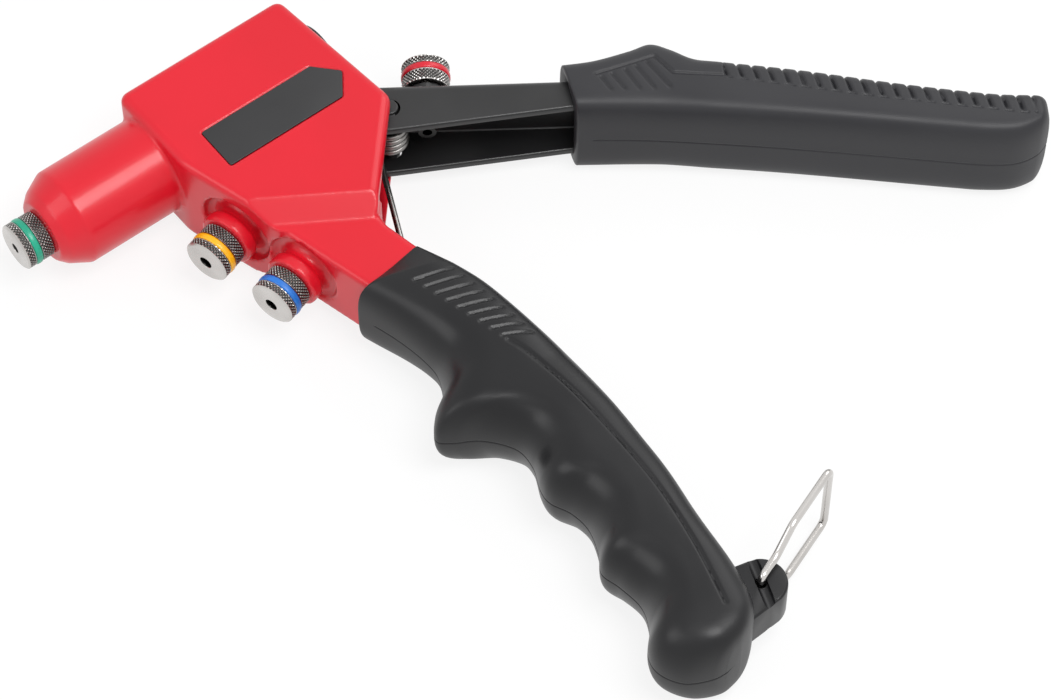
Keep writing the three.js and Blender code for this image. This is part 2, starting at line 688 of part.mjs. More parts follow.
const box = new THREE.Box3().setFromObject(model);
model.position.set(-(box.min.x + box.max.x) / 2, -(box.min.y + box.max.y) / 2, -box.min.z);
model.updateMatrixWorld(true);

export default model;
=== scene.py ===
# %% [markdown]
# # A hand riveter
# A hand riveter pulls blind rivets. Its head and fixed arm are one painted casting, a folded steel
# lever swings in the head, and both end in moulded grips. Everything that moves or fits comes from a
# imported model, which is loaded here as a fixed frame. This file gives each visible piece its real
# surface and finish. Sizes in it are millimetres in the tool's own drawing: the nose axis is x, the
# fixed grip runs towards +y, and z is measured from the middle plane of the flat tool.

# %% load the frame
import json
import math
import bpy
import numpy as np
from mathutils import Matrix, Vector


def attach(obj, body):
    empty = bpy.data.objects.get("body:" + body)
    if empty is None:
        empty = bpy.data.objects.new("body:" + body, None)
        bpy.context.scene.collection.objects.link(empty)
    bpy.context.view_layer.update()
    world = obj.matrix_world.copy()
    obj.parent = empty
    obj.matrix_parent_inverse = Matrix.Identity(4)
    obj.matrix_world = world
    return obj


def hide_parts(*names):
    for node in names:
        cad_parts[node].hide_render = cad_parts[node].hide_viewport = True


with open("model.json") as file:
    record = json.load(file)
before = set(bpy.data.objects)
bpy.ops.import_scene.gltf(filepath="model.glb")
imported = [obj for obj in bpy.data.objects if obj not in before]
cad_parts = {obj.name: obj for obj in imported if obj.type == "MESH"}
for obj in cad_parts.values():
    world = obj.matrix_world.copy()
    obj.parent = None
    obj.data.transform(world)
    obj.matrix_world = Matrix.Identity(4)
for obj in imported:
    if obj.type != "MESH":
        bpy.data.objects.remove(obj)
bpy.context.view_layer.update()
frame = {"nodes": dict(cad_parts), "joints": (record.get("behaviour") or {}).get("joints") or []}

MM = 0.001

# %% [markdown]
# ## From the drawing to the frame
# The main pivot is the one point that the drawing and the frame both know. In the drawing it lies
# 10 mm along the nose axis and 15.5 mm beside it. The lever's hinge in the frame gives its place, so
# every point of the drawing follows from it, and no piece is fitted by eye.

# %% the drawing's zero point
PIVOT = np.array([10.0, 15.5])
hinge = next(joint for joint in frame["joints"] if joint["name"] == "lever_hinge")
zero = np.array(hinge["pos_m"]) / MM - np.array([*PIVOT, 0.0])
print("drawing zero in the frame, mm:", zero.round(2))

# %% [markdown]
# ## Camera, lamps and background
# Small tools are photographed with a long lens from well above, under large soft lamps, so the
# shadows stay faint and the glossy paint shows broad, soft highlights. The background is made white
# by its own colour for camera and mirror rays. More light would bleach the paint instead.

# %% camera
def view_direction(azimuth, elevation):
    """Unit vector from the target to the camera: azimuth turns it about Z, elevation lifts it."""
    a, e = math.radians(azimuth), math.radians(elevation)
    return np.array([math.sin(a) * math.cos(e), -math.cos(a) * math.cos(e), math.sin(e)])

AIM_POINT = np.array([0.0, 101.6, 0.0])
CAMERA_DISTANCE = 1.0
target = (zero + AIM_POINT) * MM
camera = bpy.data.objects.new("camera", bpy.data.cameras.new("camera"))
back = view_direction(142, 57)
camera.location = target + back * CAMERA_DISTANCE
camera.rotation_euler = Vector(back).to_track_quat("Z", "Y").to_euler()
camera.data.sensor_width = 36
camera.data.lens = 140.4
bpy.context.scene.collection.objects.link(camera)
bpy.context.scene.camera = camera
bpy.context.scene.view_settings.view_transform = "Standard"
print("camera at", tuple(round(v, 3) for v in camera.location))

# %% lamps
LAMP_DISTANCE = 0.9

def soft_lamp(name, azimuth, elevation, size, watts):
    """A square lamp that faces the target."""
    lamp = bpy.data.objects.new(name, bpy.data.lights.new(name, "AREA"))
    towards = view_direction(azimuth, elevation)
    lamp.location = target + towards * LAMP_DISTANCE
    lamp.rotation_euler = Vector(towards).to_track_quat("Z", "Y").to_euler()
    lamp.data.size = size
    lamp.data.energy = watts
    bpy.context.scene.collection.objects.link(lamp)

soft_lamp("overhead_lamp", 195, 70, 0.42, 5.2)
soft_lamp("side_lamp", 75, 38, 0.5, 1.6)
soft_lamp("far_lamp", 285, 40, 0.5, 1.6)
print("lamps: overhead, side and far")

# %% white background
def seen_directly(nodes, links):
    """1 for camera, mirror and glass rays, 0 for the rays that light the object."""
    path = nodes.new("ShaderNodeLightPath")
    seen = path.outputs["Is Camera Ray"]
    for ray in ("Is Glossy Ray", "Is Transmission Ray"):
        either = nodes.new("ShaderNodeMath")
        either.operation = "MAXIMUM"
        links.new(seen, either.inputs[0])
        links.new(path.outputs[ray], either.inputs[1])
        seen = either.outputs[0]
    return seen

world = bpy.data.worlds.new("studio")
world.use_nodes = True
bpy.context.scene.world = world
nodes, links = world.node_tree.nodes, world.node_tree.links
nodes.clear()
choice = nodes.new("ShaderNodeMixShader")
links.new(seen_directly(nodes, links), choice.inputs[0])
for way, strength in ((1, 0.55), (2, 1.0)):
    sky = nodes.new("ShaderNodeBackground")
    sky.inputs["Color"].default_value = (1, 1, 1, 1)
    sky.inputs["Strength"].default_value = strength
    links.new(sky.outputs[0], choice.inputs[way])
links.new(choice.outputs[0], nodes.new("ShaderNodeOutputWorld").inputs[0])
print("world:", world.name)

# %% floor
FLOOR_HALF, WHITE_SHARE = 2.5, 0.84

def make_floor():
    """A flat square, pale for the light and nearly white where it is seen, so a shadow stays on it."""
    mesh = bpy.data.meshes.new("floor")
    corners = [(x * FLOOR_HALF, y * FLOOR_HALF, 0) for x, y in ((-1, -1), (1, -1), (1, 1), (-1, 1))]
    mesh.from_pydata(corners, [], [(0, 1, 2, 3)])
    floor = bpy.data.objects.new("floor", mesh)
    bpy.context.scene.collection.objects.link(floor)
    material = bpy.data.materials.new("pale_floor")
    material.use_nodes = True
    nodes, links = material.node_tree.nodes, material.node_tree.links
    shader = nodes["Principled BSDF"]
    shader.inputs["Base Color"].default_value = (0.9, 0.9, 0.9, 1)
    shader.inputs["Roughness"].default_value = 0.9
    shader.inputs["Specular IOR Level"].default_value = 0.0
    glow = nodes.new("ShaderNodeEmission")
    share = nodes.new("ShaderNodeMath")
    share.operation = "MULTIPLY"
    share.inputs[1].default_value = WHITE_SHARE
    mix = nodes.new("ShaderNodeMixShader")
    links.new(seen_directly(nodes, links), share.inputs[0])
    links.new(share.outputs[0], mix.inputs[0])
    links.new(shader.outputs[0], mix.inputs[1])
    links.new(glow.outputs[0], mix.inputs[2])
    links.new(mix.outputs[0], nodes["Material Output"].inputs[0])
    mesh.materials.append(material)

make_floor()
print("floor, m square:", 2 * FLOOR_HALF)

# %% [markdown]
# ## Finishes
# No real surface has one flat value. Two effects come back in every finish: a fine grain, which is
# the orange peel of paint, the spark texture of a mould or the grain of plating, and broad patches
# where hands and handling changed the gloss. Each is a node group, built once. The shader itself stays
# in each material, with its own numbers on its own sockets.

# %% node groups
def new_group(name, inputs, outputs):
    """An empty shader node group with float sockets, plus a vector socket called Place."""
    group = bpy.data.node_groups.new(name, "ShaderNodeTree")
    group.interface.new_socket(name="Place", in_out="INPUT", socket_type="NodeSocketVector")
    for label in inputs:
        group.interface.new_socket(name=label, in_out="INPUT", socket_type="NodeSocketFloat")
    for label in outputs:
        group.interface.new_socket(name=label, in_out="OUTPUT", socket_type="NodeSocketFloat")
    return group, group.nodes.new("NodeGroupInput"), group.nodes.new("NodeGroupOutput")

def noise_in(group, place, scale, detail):
    """A noise texture fed with a place and a scale socket, centred on 0.5."""
    noise = group.nodes.new("ShaderNodeTexNoise")
    noise.inputs["Detail"].default_value = detail
    group.links.new(place, noise.inputs["Vector"])
    group.links.new(scale, noise.inputs["Scale"])
    return noise.outputs["Fac"]

def build_grain():
    """Height = noise at Scale plus a little of a finer noise, so that the grain isn't one size."""
    group, given, result = new_group("fine_grain", ["Scale", "Fineness"], ["Height"])
    finer = group.nodes.new("ShaderNodeMath")
    finer.operation = "MULTIPLY"
    group.links.new(given.outputs["Scale"], finer.inputs[0])
    group.links.new(given.outputs["Fineness"], finer.inputs[1])
    coarse = noise_in(group, given.outputs["Place"], given.outputs["Scale"], 1.0)
    fine = noise_in(group, given.outputs["Place"], finer.outputs[0], 0.0)
    add = group.nodes.new("ShaderNodeMath")
    add.operation = "MULTIPLY_ADD"
    add.inputs[1].default_value = 0.45
    group.links.new(fine, add.inputs[0])
    group.links.new(coarse, add.inputs[2])
    group.links.new(add.outputs[0], result.inputs["Height"])
    return group

def build_patches():
    """Mask = broad noise, stretched in contrast, from 0 on clean parts to 1 on handled ones."""
    group, given, result = new_group("handled_patches", ["Scale"], ["Mask"])
    broad = noise_in(group, given.outputs["Place"], given.outputs["Scale"], 3.0)
    stretch = group.nodes.new("ShaderNodeMapRange")
    stretch.interpolation_type = "SMOOTHSTEP"
    stretch.inputs["From Min"].default_value = 0.38
    stretch.inputs["From Max"].default_value = 0.66
    group.links.new(broad, stretch.inputs["Value"])
    group.links.new(stretch.outputs["Result"], result.inputs["Mask"])
    return group

grain_group = build_grain()
patch_group = build_patches()
print("node groups:", grain_group.name, patch_group.name)

# %% one finish
def finish(name, clean, handled, rough, grain, patches=28.0, recess=None, **own):
    """A material whose colour and roughness go from clean to handled over the patches. The grain is a bump.
    rough is (clean, handled) and grain is (scale per metre, height in mm). recess is a painted shade: the
    colour of the deepest places, where the mesh has its own "recess" value of 1. own sets shader sockets."""
    material = bpy.data.materials.new(name)
    material.use_nodes = True
    nodes, links = material.node_tree.nodes, material.node_tree.links
    shader = nodes["Principled BSDF"]
    place = nodes.new("ShaderNodeTexCoord").outputs["Object"]
    marks = nodes.new("ShaderNodeGroup")
    marks.node_tree = patch_group
    marks.inputs["Scale"].default_value = patches
    links.new(place, marks.inputs["Place"])
    colour = nodes.new("ShaderNodeMix")
    colour.data_type = "RGBA"
    colour.inputs["A"].default_value = (*clean, 1)
    colour.inputs["B"].default_value = (*handled, 1)
    links.new(marks.outputs["Mask"], colour.inputs["Factor"])
    tone = colour.outputs["Result"]
    # Painted shade: the recess attribute mixes a dark colour into the deepest places.
    if recess:
        depth = nodes.new("ShaderNodeAttribute")
        depth.attribute_name = "recess"
        deep = nodes.new("ShaderNodeMix")
        deep.data_type = "RGBA"
        deep.inputs["B"].default_value = (*recess, 1)
        links.new(depth.outputs["Fac"], deep.inputs["Factor"])
        links.new(tone, deep.inputs["A"])
        tone = deep.outputs["Result"]
    links.new(tone, shader.inputs["Base Color"])
    gloss = nodes.new("ShaderNodeMapRange")
    gloss.inputs["To Min"].default_value, gloss.inputs["To Max"].default_value = rough
    links.new(marks.outputs["Mask"], gloss.inputs["Value"])
    links.new(gloss.outputs["Result"], shader.inputs["Roughness"])
    fine = nodes.new("ShaderNodeGroup")
    fine.node_tree = grain_group
    fine.inputs["Scale"].default_value = grain[0]
    fine.inputs["Fineness"].default_value = 2.7
    links.new(place, fine.inputs["Place"])
    bump = nodes.new("ShaderNodeBump")
    bump.inputs["Strength"].default_value = 1.0
    bump.inputs["Distance"].default_value = grain[1] * MM
    links.new(fine.outputs["Height"], bump.inputs["Height"])
    links.new(bump.outputs["Normal"], shader.inputs["Normal"])
    for socket, value in own.items():
        shader.inputs[socket.replace("_", " ")].default_value = value
    return material

# %% the tool's finishes
red_paint = finish("red_paint", (0.66, 0.008, 0.022), (0.62, 0.008, 0.020), (0.28, 0.35), (420, 0.010),
                   Coat_Weight=0.22, Coat_Roughness=0.14, Specular_IOR_Level=0.3)
label_grey = finish("label_grey", (0.012, 0.012, 0.013), (0.016, 0.016, 0.017), (0.42, 0.5),
                    (2600, 0.008))
black_steel = finish("black_steel", (0.009, 0.009, 0.0095), (0.013, 0.013, 0.0135), (0.32, 0.42),
                     (1500, 0.012))
soft_black = finish("soft_black_plastic", (0.006, 0.006, 0.007), (0.009, 0.009, 0.010), (0.32, 0.42),
                    (2400, 0.012), Specular_IOR_Level=0.33)
satin_grey = finish("satin_grey_plastic", (0.020, 0.020, 0.023), (0.025, 0.025, 0.028), (0.40, 0.50),
                    (2600, 0.012), Specular_IOR_Level=0.33)
nickel = finish("nickel_plate", (0.62, 0.60, 0.58), (0.54, 0.52, 0.50), (0.16, 0.26),
                (1800, 0.004), 60.0, Metallic=1.0)
# The recess colour is a painted shade for the knurl grooves and the bore.
knurled_nickel = finish("knurled_nickel", (0.62, 0.60, 0.58), (0.52, 0.50, 0.48), (0.18, 0.28),
                        (1800, 0.004), 60.0, recess=(0.035, 0.034, 0.033), Metallic=1.0)
spring_wire = finish("spring_wire", (0.36, 0.35, 0.34), (0.26, 0.25, 0.24), (0.24, 0.36),
                     (2200, 0.006), 90.0, Metallic=1.0)
RING_TONES = {"green": (0.010, 0.36, 0.22), "yellow": (0.95, 0.46, 0.006), "blue": (0.014, 0.17, 0.62),
              "red": (0.62, 0.008, 0.025)}
ring_finish = {}
for tone, colour in RING_TONES.items():
    worn = tuple(0.85 * channel for channel in colour)
    ring_finish[tone] = finish(f"{tone}_ring", colour, worn, (0.28, 0.38), (1800, 0.008), 120.0)
print(len(bpy.data.materials), "materials")

# %% [markdown]
# ## Making surfaces with numpy
# A turned, folded or moulded piece is a surface with two parameters: one along the piece, one around
# it. A grid of points in numpy gives every vertex at once, and four neighbours on the grid make a
# face. A few helpers cover all the pieces: rounded corners for an outline, a flowing line through
# chosen points, and closed shells from rings of points.

# %% outlines
def softened(points, steps=6):
    """An outline whose corners are arcs. A corner is (x, y) or (x, y, radius): the arc touches both
    sides, its centre lies on the corner's bisector at radius / sin(half the corner's angle)."""
    result = []
    for i, corner in enumerate(points):
        here = np.array(corner[:2], float)
        radius = corner[2] if len(corner) > 2 else 0
        if radius == 0:
            result.append(here[None])
            continue
        before = np.array(points[i - 1][:2]) - here
        after = np.array(points[(i + 1) % len(points)][:2]) - here
        before, after = before / np.linalg.norm(before), after / np.linalg.norm(after)
        half = math.acos(np.clip(before @ after, -1, 1)) / 2
        middle = (before + after) / np.linalg.norm(before + after)
        centre = here + middle * radius / math.sin(half)
        start = here + before * radius / math.tan(half) - centre
        end = here + after * radius / math.tan(half) - centre
        first = math.atan2(start[1], start[0])
        turn = math.atan2(end[1], end[0]) - first
        turn -= 2 * math.pi * round(turn / (2 * math.pi))
        angle = first + turn * np.linspace(0, 1, steps + 1)
        result.append(centre + radius * np.stack([np.cos(angle), np.sin(angle)], 1))
    return np.concatenate(result)

def flowing(points, share):
    """Points at the given shares of the length of a smooth line through the listed points
    (a Catmull-Rom spline: each stretch is a cubic that leaves a point parallel to its neighbours)."""
    p = np.array(points, float)
    p = np.concatenate([p[:1], p, p[-1:]])
    u = np.linspace(0, len(points) - 1, 4001)
    i = np.minimum(u.astype(int), len(points) - 2)
    t = (u - i)[:, None]
    a, b, c, d = p[i], p[i + 1], p[i + 2], p[i + 3]
    v0, v1 = (c - a) / 2, (d - b) / 2
    line = (2 * b - 2 * c + v0 + v1) * t ** 3 + (3 * c - 3 * b - 2 * v0 - v1) * t ** 2 + v0 * t + b
    length = np.concatenate([[0], np.cumsum(np.linalg.norm(np.diff(line, axis=0), axis=1))])
    where = np.asarray(share) * length[-1]
    return np.stack([np.interp(where, length, line[:, k]) for k in range(line.shape[1])], -1)

print("a softened square has", len(softened([(0, 0, 1), (9, 0, 1), (9, 9, 1), (0, 9, 1)])), "points")

# %% closed shells
def grid_quads(rows, columns, around_rows=False):
    """Faces of a grid that closes on itself across its columns, and if asked across its rows too."""
    last = rows if around_rows else rows - 1
    i, j = np.meshgrid(np.arange(last), np.arange(columns), indexing="ij")
    k, m = (j + 1) % columns, (i + 1) % rows
    corners = [i * columns + j, i * columns + k, m * columns + k, m * columns + j]
    return np.stack(corners, -1).reshape(-1, 4)

def shell(rings, hollow=False, flat_ends=False):
    """A closed skin over rings[row, column, xyz]. A hollow one joins its last row to its first, flat
    ends are one face each, and any other end is a fan of triangles round its middle."""
    rings = np.asarray(rings, float)
    rows, columns = rings.shape[:2]
    points = rings.reshape(-1, 3)
    faces = grid_quads(rows, columns, hollow).tolist()
    j = np.arange(columns)
    top = (rows - 1) * columns
    if flat_ends:
        faces += [j[::-1].tolist(), (top + j).tolist()]
    elif not hollow:
        points = np.concatenate([points, rings[[0, -1]].mean(1)])
        k = (j + 1) % columns
        faces += np.stack([k, j, np.full(columns, rows * columns)], 1).tolist()
        faces += np.stack([top + j, top + k, np.full(columns, rows * columns + 1)], 1).tolist()
    return points, faces

def facing_out(points, faces):
    """The same faces, reversed if the volume that they enclose comes out negative. The volume is a
    sixth of the sum of corner products a . (b x c) over the triangles."""
    triangles = np.array([(f[0], f[n], f[n + 1]) for f in faces for n in range(1, len(f) - 1)])
    a, b, c = (points[triangles[:, n]] for n in range(3))
    if np.einsum("ij,ij->i", a, np.cross(b, c)).sum() < 0:
        return [face[::-1] for face in faces]
    return faces

def turned(profile, sides=96):
    """Rings of a piece turned about the x axis: profile rows are (along, radius)."""
    along, radius = np.asarray(profile, float).T
    angle = 2 * np.pi * np.arange(sides) / sides
    x = np.repeat(along[:, None], sides, 1)
    return np.stack([x, radius[:, None] * np.cos(angle), radius[:, None] * np.sin(angle)], -1)

def aimed(points, at, degrees):
    """Turns drawing points about z by some degrees and moves them to a place in the middle plane."""
    c, s = math.cos(math.radians(degrees)), math.sin(math.radians(degrees))
    x, y, z = points[..., 0], points[..., 1], points[..., 2]
    return np.stack([at[0] + c * x - s * y, at[1] + s * x + c * y, z], -1)

def upright(points, at):
    """Stands a piece that was turned about x on its end, along z."""
    return np.stack([at[0] + points[..., 1], at[1] + points[..., 2], points[..., 0]], -1)

def plate(outline, low, high, edge, steps=5):
    """A flat plate with rounded rims: the outline shrinks by edge * (1 - sin a) while the
    height grows by edge * (1 - cos a), as a goes through a quarter turn at each rim."""
    ahead, behind = np.roll(outline, -1, 0) - outline, outline - np.roll(outline, 1, 0)
    normal = [np.stack([v[:, 1], -v[:, 0]], 1) / np.linalg.norm(v, axis=1)[:, None]
              for v in (ahead, behind)]
    mean = normal[0] + normal[1]
    mean /= np.maximum((mean * normal[0]).sum(1), 0.5)[:, None]
    x, y = outline[:, 0], outline[:, 1]
    area = (x * np.roll(y, -1) - y * np.roll(x, -1)).sum()
    mean *= math.copysign(1, area)
    a = np.linspace(0, np.pi / 2, steps + 1)
    shrink = edge * (1 - np.sin(a))
    rise = edge * (1 - np.cos(a))
    levels = [(s, low + r) for s, r in zip(shrink, rise)]
    levels += [(s, high - r) for s, r in zip(shrink[::-1], rise[::-1])]
    rings = [np.column_stack([outline - mean * s, np.full(len(outline), z)]) for s, z in levels]
    return shell(rings, flat_ends=True)

print("a turned ring of 96 sides has", len(grid_quads(2, 96)), "faces")

# %% pieces
def mesh_from(name, points, faces, sharp=40):
    """A mesh in metres in the frame, from drawing points, with smooth shading up to a sharp angle."""
    points = np.asarray(points, float)
    mesh = bpy.data.meshes.new(name)
    mesh.from_pydata(((points + zero) * MM).tolist(), [], facing_out(points, faces))
    mesh.update()
    mesh.shade_smooth()
    mesh.set_sharp_from_angle(angle=math.radians(sharp))
    return mesh

def solid_object(name, shells, sharp=40):
    """One object made of one or more closed shells. Every shell is turned to face outwards first."""
    points, faces = [], []
    for shell_points, shell_faces in shells:
        start = sum(len(p) for p in points)
        faces += [[start + v for v in face] for face in facing_out(shell_points, shell_faces)]
        points.append(shell_points)
    obj = bpy.data.objects.new(name, mesh_from(name, np.concatenate(points), faces, sharp))
    bpy.context.scene.collection.objects.link(obj)
    return obj

def settle(obj, material, body, stands_for=()):
    """Gives a finished object its material, its body and the nodes it stands for."""
    obj.data.materials.clear()
    obj.data.materials.append(material)
    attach(obj, body)
    if stands_for:
        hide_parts(*stands_for)
    print(f"{obj.name}: {len(obj.data.polygons)} faces on {body}")

def piece(name, shells, material, body, stands_for=(), sharp=40):
    """A solid object that is a piece of the tool: it rides on a body and stands for CAD nodes."""
    obj = solid_object(name, shells, sharp)
    settle(obj, material, body, stands_for)
    return obj

# %% [markdown]
# ## The nosepieces
# A nosepiece is a small turned plug: a threaded stem, a knurled head split by a groove for a coloured
# ring, and a polished face with a plain hole. A bump map would leave the outline smooth, so the knurl
# is cut here in the geometry. Two families of helical V grooves cross at right angles, and the
# surface is the deeper of the two at each point, which leaves small pyramids.

# %% nosepiece sizes
KNURL_RADIUS, KNURL_LENGTH = 6.25, 8.0
STEM_RADIUS, STEM_LENGTH, TAIL_LENGTH = 3.3, 8.0, 4.5
RING_AT, RING_WIDTH, RING_GROOVE = 3.5, 1.5, 1.25
GAP = 0.3
HOLES = {"green": 1.3, "yellow": 1.7, "blue": 1.65, "red": 1.15}
KNURL_COUNT, KNURL_DEPTH, KNURL_FADE, GROOVE_POWER = 38, 0.36, 0.25, 1.3
# The next constant scales the painted shade that darkens the knurl grooves.
GROOVE_SHADE_GAIN = 1.15

def knurled(rings, bands):
    """Cuts a diamond knurl into the rings inside the bands, and tells how deep each point lies. At
    angle a and height h the two families of grooves are at n a / 2 pi + h / pitch and
    n a / 2 pi - h / pitch, whole numbers being the bottoms. A band fades out at its ends. The depth
    is also a painted shade value: the bore and the stem count as deep too, so that they are painted dark."""
    along = rings[..., 0]
    radius = np.hypot(rings[..., 1], rings[..., 2])
    turns = np.arctan2(rings[..., 2], rings[..., 1]) / (2 * np.pi) * KNURL_COUNT
    pitch = 2 * np.pi * KNURL_RADIUS / KNURL_COUNT
    families = [np.abs((turns + sense * along / pitch + 0.5) % 1 - 0.5) * 2 for sense in (1, -1)]
    cut = KNURL_DEPTH * (1 - np.minimum(*families) ** GROOVE_POWER)
    inside = sum(np.clip((along - low) / KNURL_FADE, 0, 1) * np.clip((high - along) / KNURL_FADE, 0, 1)
                 for low, high in bands)
    cut = np.where(radius > KNURL_RADIUS - 0.05, cut * np.clip(inside, 0, 1), 0)
    scale = ((radius - cut) / radius)[..., None]
    # Painted shade: the grooves darken with their depth, and the bore and the stem are painted fully dark.
    bore = (radius < STEM_RADIUS - 1.2) & (along < KNURL_LENGTH - 0.1)
    recess = np.where(bore | (along < 0), 1.0, np.clip(GROOVE_SHADE_GAIN * cut / KNURL_DEPTH, 0, 1))
    return np.concatenate([rings[..., :1], rings[..., 1:] * scale], -1), recess

print("knurl pitch, mm:", round(2 * math.pi * KNURL_RADIUS / KNURL_COUNT, 2))

# %% nosepiece shape
def nosepiece(hole):
    """Rings from the hole's mouth over the head, down the stem and back up the hole."""
    groove = (RING_AT, RING_AT + RING_WIDTH + 2 * GAP)
    face = softened([(KNURL_LENGTH - 1.2, hole), (KNURL_LENGTH - 0.15, hole), (KNURL_LENGTH, hole + 0.1),
                     (KNURL_LENGTH, KNURL_RADIUS - 0.6, 0.2), (KNURL_LENGTH - 0.45, KNURL_RADIUS, 0.1),
                     (KNURL_LENGTH - 0.7, KNURL_RADIUS)], 3)
    outer = band_rows(KNURL_LENGTH - 0.75, groove[1] + 0.15)
    neck = [(groove[1], KNURL_RADIUS - 0.15), (groove[1], KNURL_RADIUS - RING_GROOVE),
            (groove[0], KNURL_RADIUS - RING_GROOVE), (groove[0], KNURL_RADIUS - 0.15)]
    inner = band_rows(groove[0] - 0.15, 0.55)
    root = [(0.2, KNURL_RADIUS - 0.35), (0.2, STEM_RADIUS)]
    thread = thread_rows()
    tail = [(-STEM_LENGTH - 0.3, STEM_RADIUS - 0.6), (-STEM_LENGTH - TAIL_LENGTH, STEM_RADIUS - 1.0),
            (-STEM_LENGTH - TAIL_LENGTH, hole + 0.1)]
    profile = np.array(face.tolist() + outer + neck + inner + root + thread + tail)
    rings = turned(profile, 6 * KNURL_COUNT)
    return knurled(rings, [(0.2, groove[0]), (groove[1], KNURL_LENGTH - 0.4)])

def band_rows(start, end, step=0.1):
    """Profile rows along a knurled band, close enough together to show each diamond."""
    return [(x, KNURL_RADIUS) for x in np.linspace(start, end, int(abs(end - start) / step) + 1)]

def thread_rows(pitch=1.0, depth=0.35):
    """Profile rows of the thread: rings of V grooves at the thread's pitch."""
    rows = []
    for x in np.arange(0.0, STEM_LENGTH - pitch, pitch):
        rows += [(-x - 0.1, STEM_RADIUS), (-x - 0.5 * pitch, STEM_RADIUS - depth)]
    return rows + [(-STEM_LENGTH, STEM_RADIUS)]

# %% where the nosepieces sit
ARM_TILT = 16.5
CHANNEL_START, CHANNEL_ANGLE = np.array([-17.7, 22.1]), 144.2
NUT_AT, NUT_HEIGHT, NUT_RADIUS = 9.9, 3.8, 5.6
SEAT_X = 73.2
STORE_FACES = {"yellow": np.array([46.5, 32.6]), "blue": np.array([41.1, 52.7])}

def heading(degrees):
    """Unit vector in the middle plane."""
    return np.array([math.cos(math.radians(degrees)), math.sin(math.radians(degrees))])

def on_channel(s, depth):
    """A point s along the lever's back line and depth from it towards the fixed grip."""
    d = heading(CHANNEL_ANGLE)
    return CHANNEL_START + np.multiply.outer(s, d) + np.multiply.outer(depth, [d[1], -d[0]])

SEATS = {
    "green": (np.array([SEAT_X, 0.0]), 0.0),
    "yellow": (STORE_FACES["yellow"] - heading(ARM_TILT) * KNURL_LENGTH, ARM_TILT),
    "blue": (STORE_FACES["blue"] - heading(ARM_TILT) * KNURL_LENGTH, ARM_TILT),
    "red": (on_channel(NUT_AT, -NUT_HEIGHT - GAP), CHANNEL_ANGLE + 90),
}
for tone, (seat, angle) in SEATS.items():
    rings, recess = nosepiece(HOLES[tone])
    plug = piece(f"{tone}_nosepiece", [shell(aimed(rings, seat, angle), hollow=True)], knurled_nickel,
                 f"nosepiece_{tone}", [f"nosepiece_{tone}"], sharp=35)
    # The recess value is the painted shade of the knurl grooves and the bore.
    plug.data.attributes.new("recess", "FLOAT", "POINT").data.foreach_set("value", recess.ravel())

# %% [markdown]
# ## The coloured rings
# Each nosepiece carries a rubber ring whose colour tells its rivet size. An O-ring in a groove shows
# a soft oval section, so its profile is a squarish oval closed on itself, and the ring is hollow.

# %% rings
def ring_profile(points=24):
    """A squarish oval between the groove's floor and just proud of the knurl."""
    a = 2 * np.pi * np.arange(points) / points
    inner, outer = KNURL_RADIUS - RING_GROOVE + 0.1, KNURL_RADIUS + 0.1
    half = (RING_WIDTH + 0.35) / 2
    x = np.sign(np.cos(a)) * np.abs(np.cos(a)) ** 0.7 * half + RING_AT + GAP + RING_WIDTH / 2
    r = (inner + outer) / 2 + np.sign(np.sin(a)) * np.abs(np.sin(a)) ** 0.7 * (outer - inner) / 2
    return np.stack([x, r], 1)

for tone, (seat, angle) in SEATS.items():
    rings = aimed(turned(ring_profile(), 128), seat, angle)
    piece(f"{tone}_ring", [shell(rings, hollow=True)], ring_finish[tone], f"ring_{tone}",
          [f"ring_{tone}"])

# %% [markdown]
# ## The head casting
# Head, nose barrel and fixed arm are one casting, so they flow into each other with fillets and have
# no sharp edge. It could be one sculpted mesh. Here plates and turned shells are joined and cut as
# solids, which keeps every size exact, and a fine remesh with a little smoothing then rounds all the
# edges and inner corners at once, as a casting and its paint do.

# %% solids for the casting
def after_modifiers(obj):
    """Replaces an object's mesh by what its modifiers make of it."""
    graph = bpy.context.evaluated_depsgraph_get()
    graph.update()
    made = bpy.data.meshes.new_from_object(obj.evaluated_get(graph))
    obj.modifiers.clear()
    obj.data = made

def combine_with(obj, operation, other):
    """Joins another object to this one, cuts it away or keeps what both share, and removes it."""
    modifier = obj.modifiers.new(operation.lower(), "BOOLEAN")
    modifier.operation = operation
    modifier.object = other
    modifier.solver = "EXACT"
    after_modifiers(obj)
    bpy.data.objects.remove(other)

def combine(obj, operation, shells):
    """The same with shells, which are made one object for it."""
    combine_with(obj, operation, solid_object("tool_bit", shells))

# %% head and arm
HEAD_HALF, ARM_HALF = 15.0, 11.0
HEAD_TOP_Y, HEAD_REAR_X, HEAD_FRONT_X = -13.5, -10.3, 39.8
ARM_FOOT, ARM_WIDTH, CORE_END_Y = np.array([24.2, 65.0]), 16.6, 154.0
HEEL = ARM_FOOT + heading(ARM_TILT + 90) * 8 - heading(ARM_TILT) * ARM_WIDTH

def front_at(y):
    """x of the arm's front edge at a given y."""
    return ARM_FOOT[0] - (y - ARM_FOOT[1]) * math.tan(math.radians(ARM_TILT))

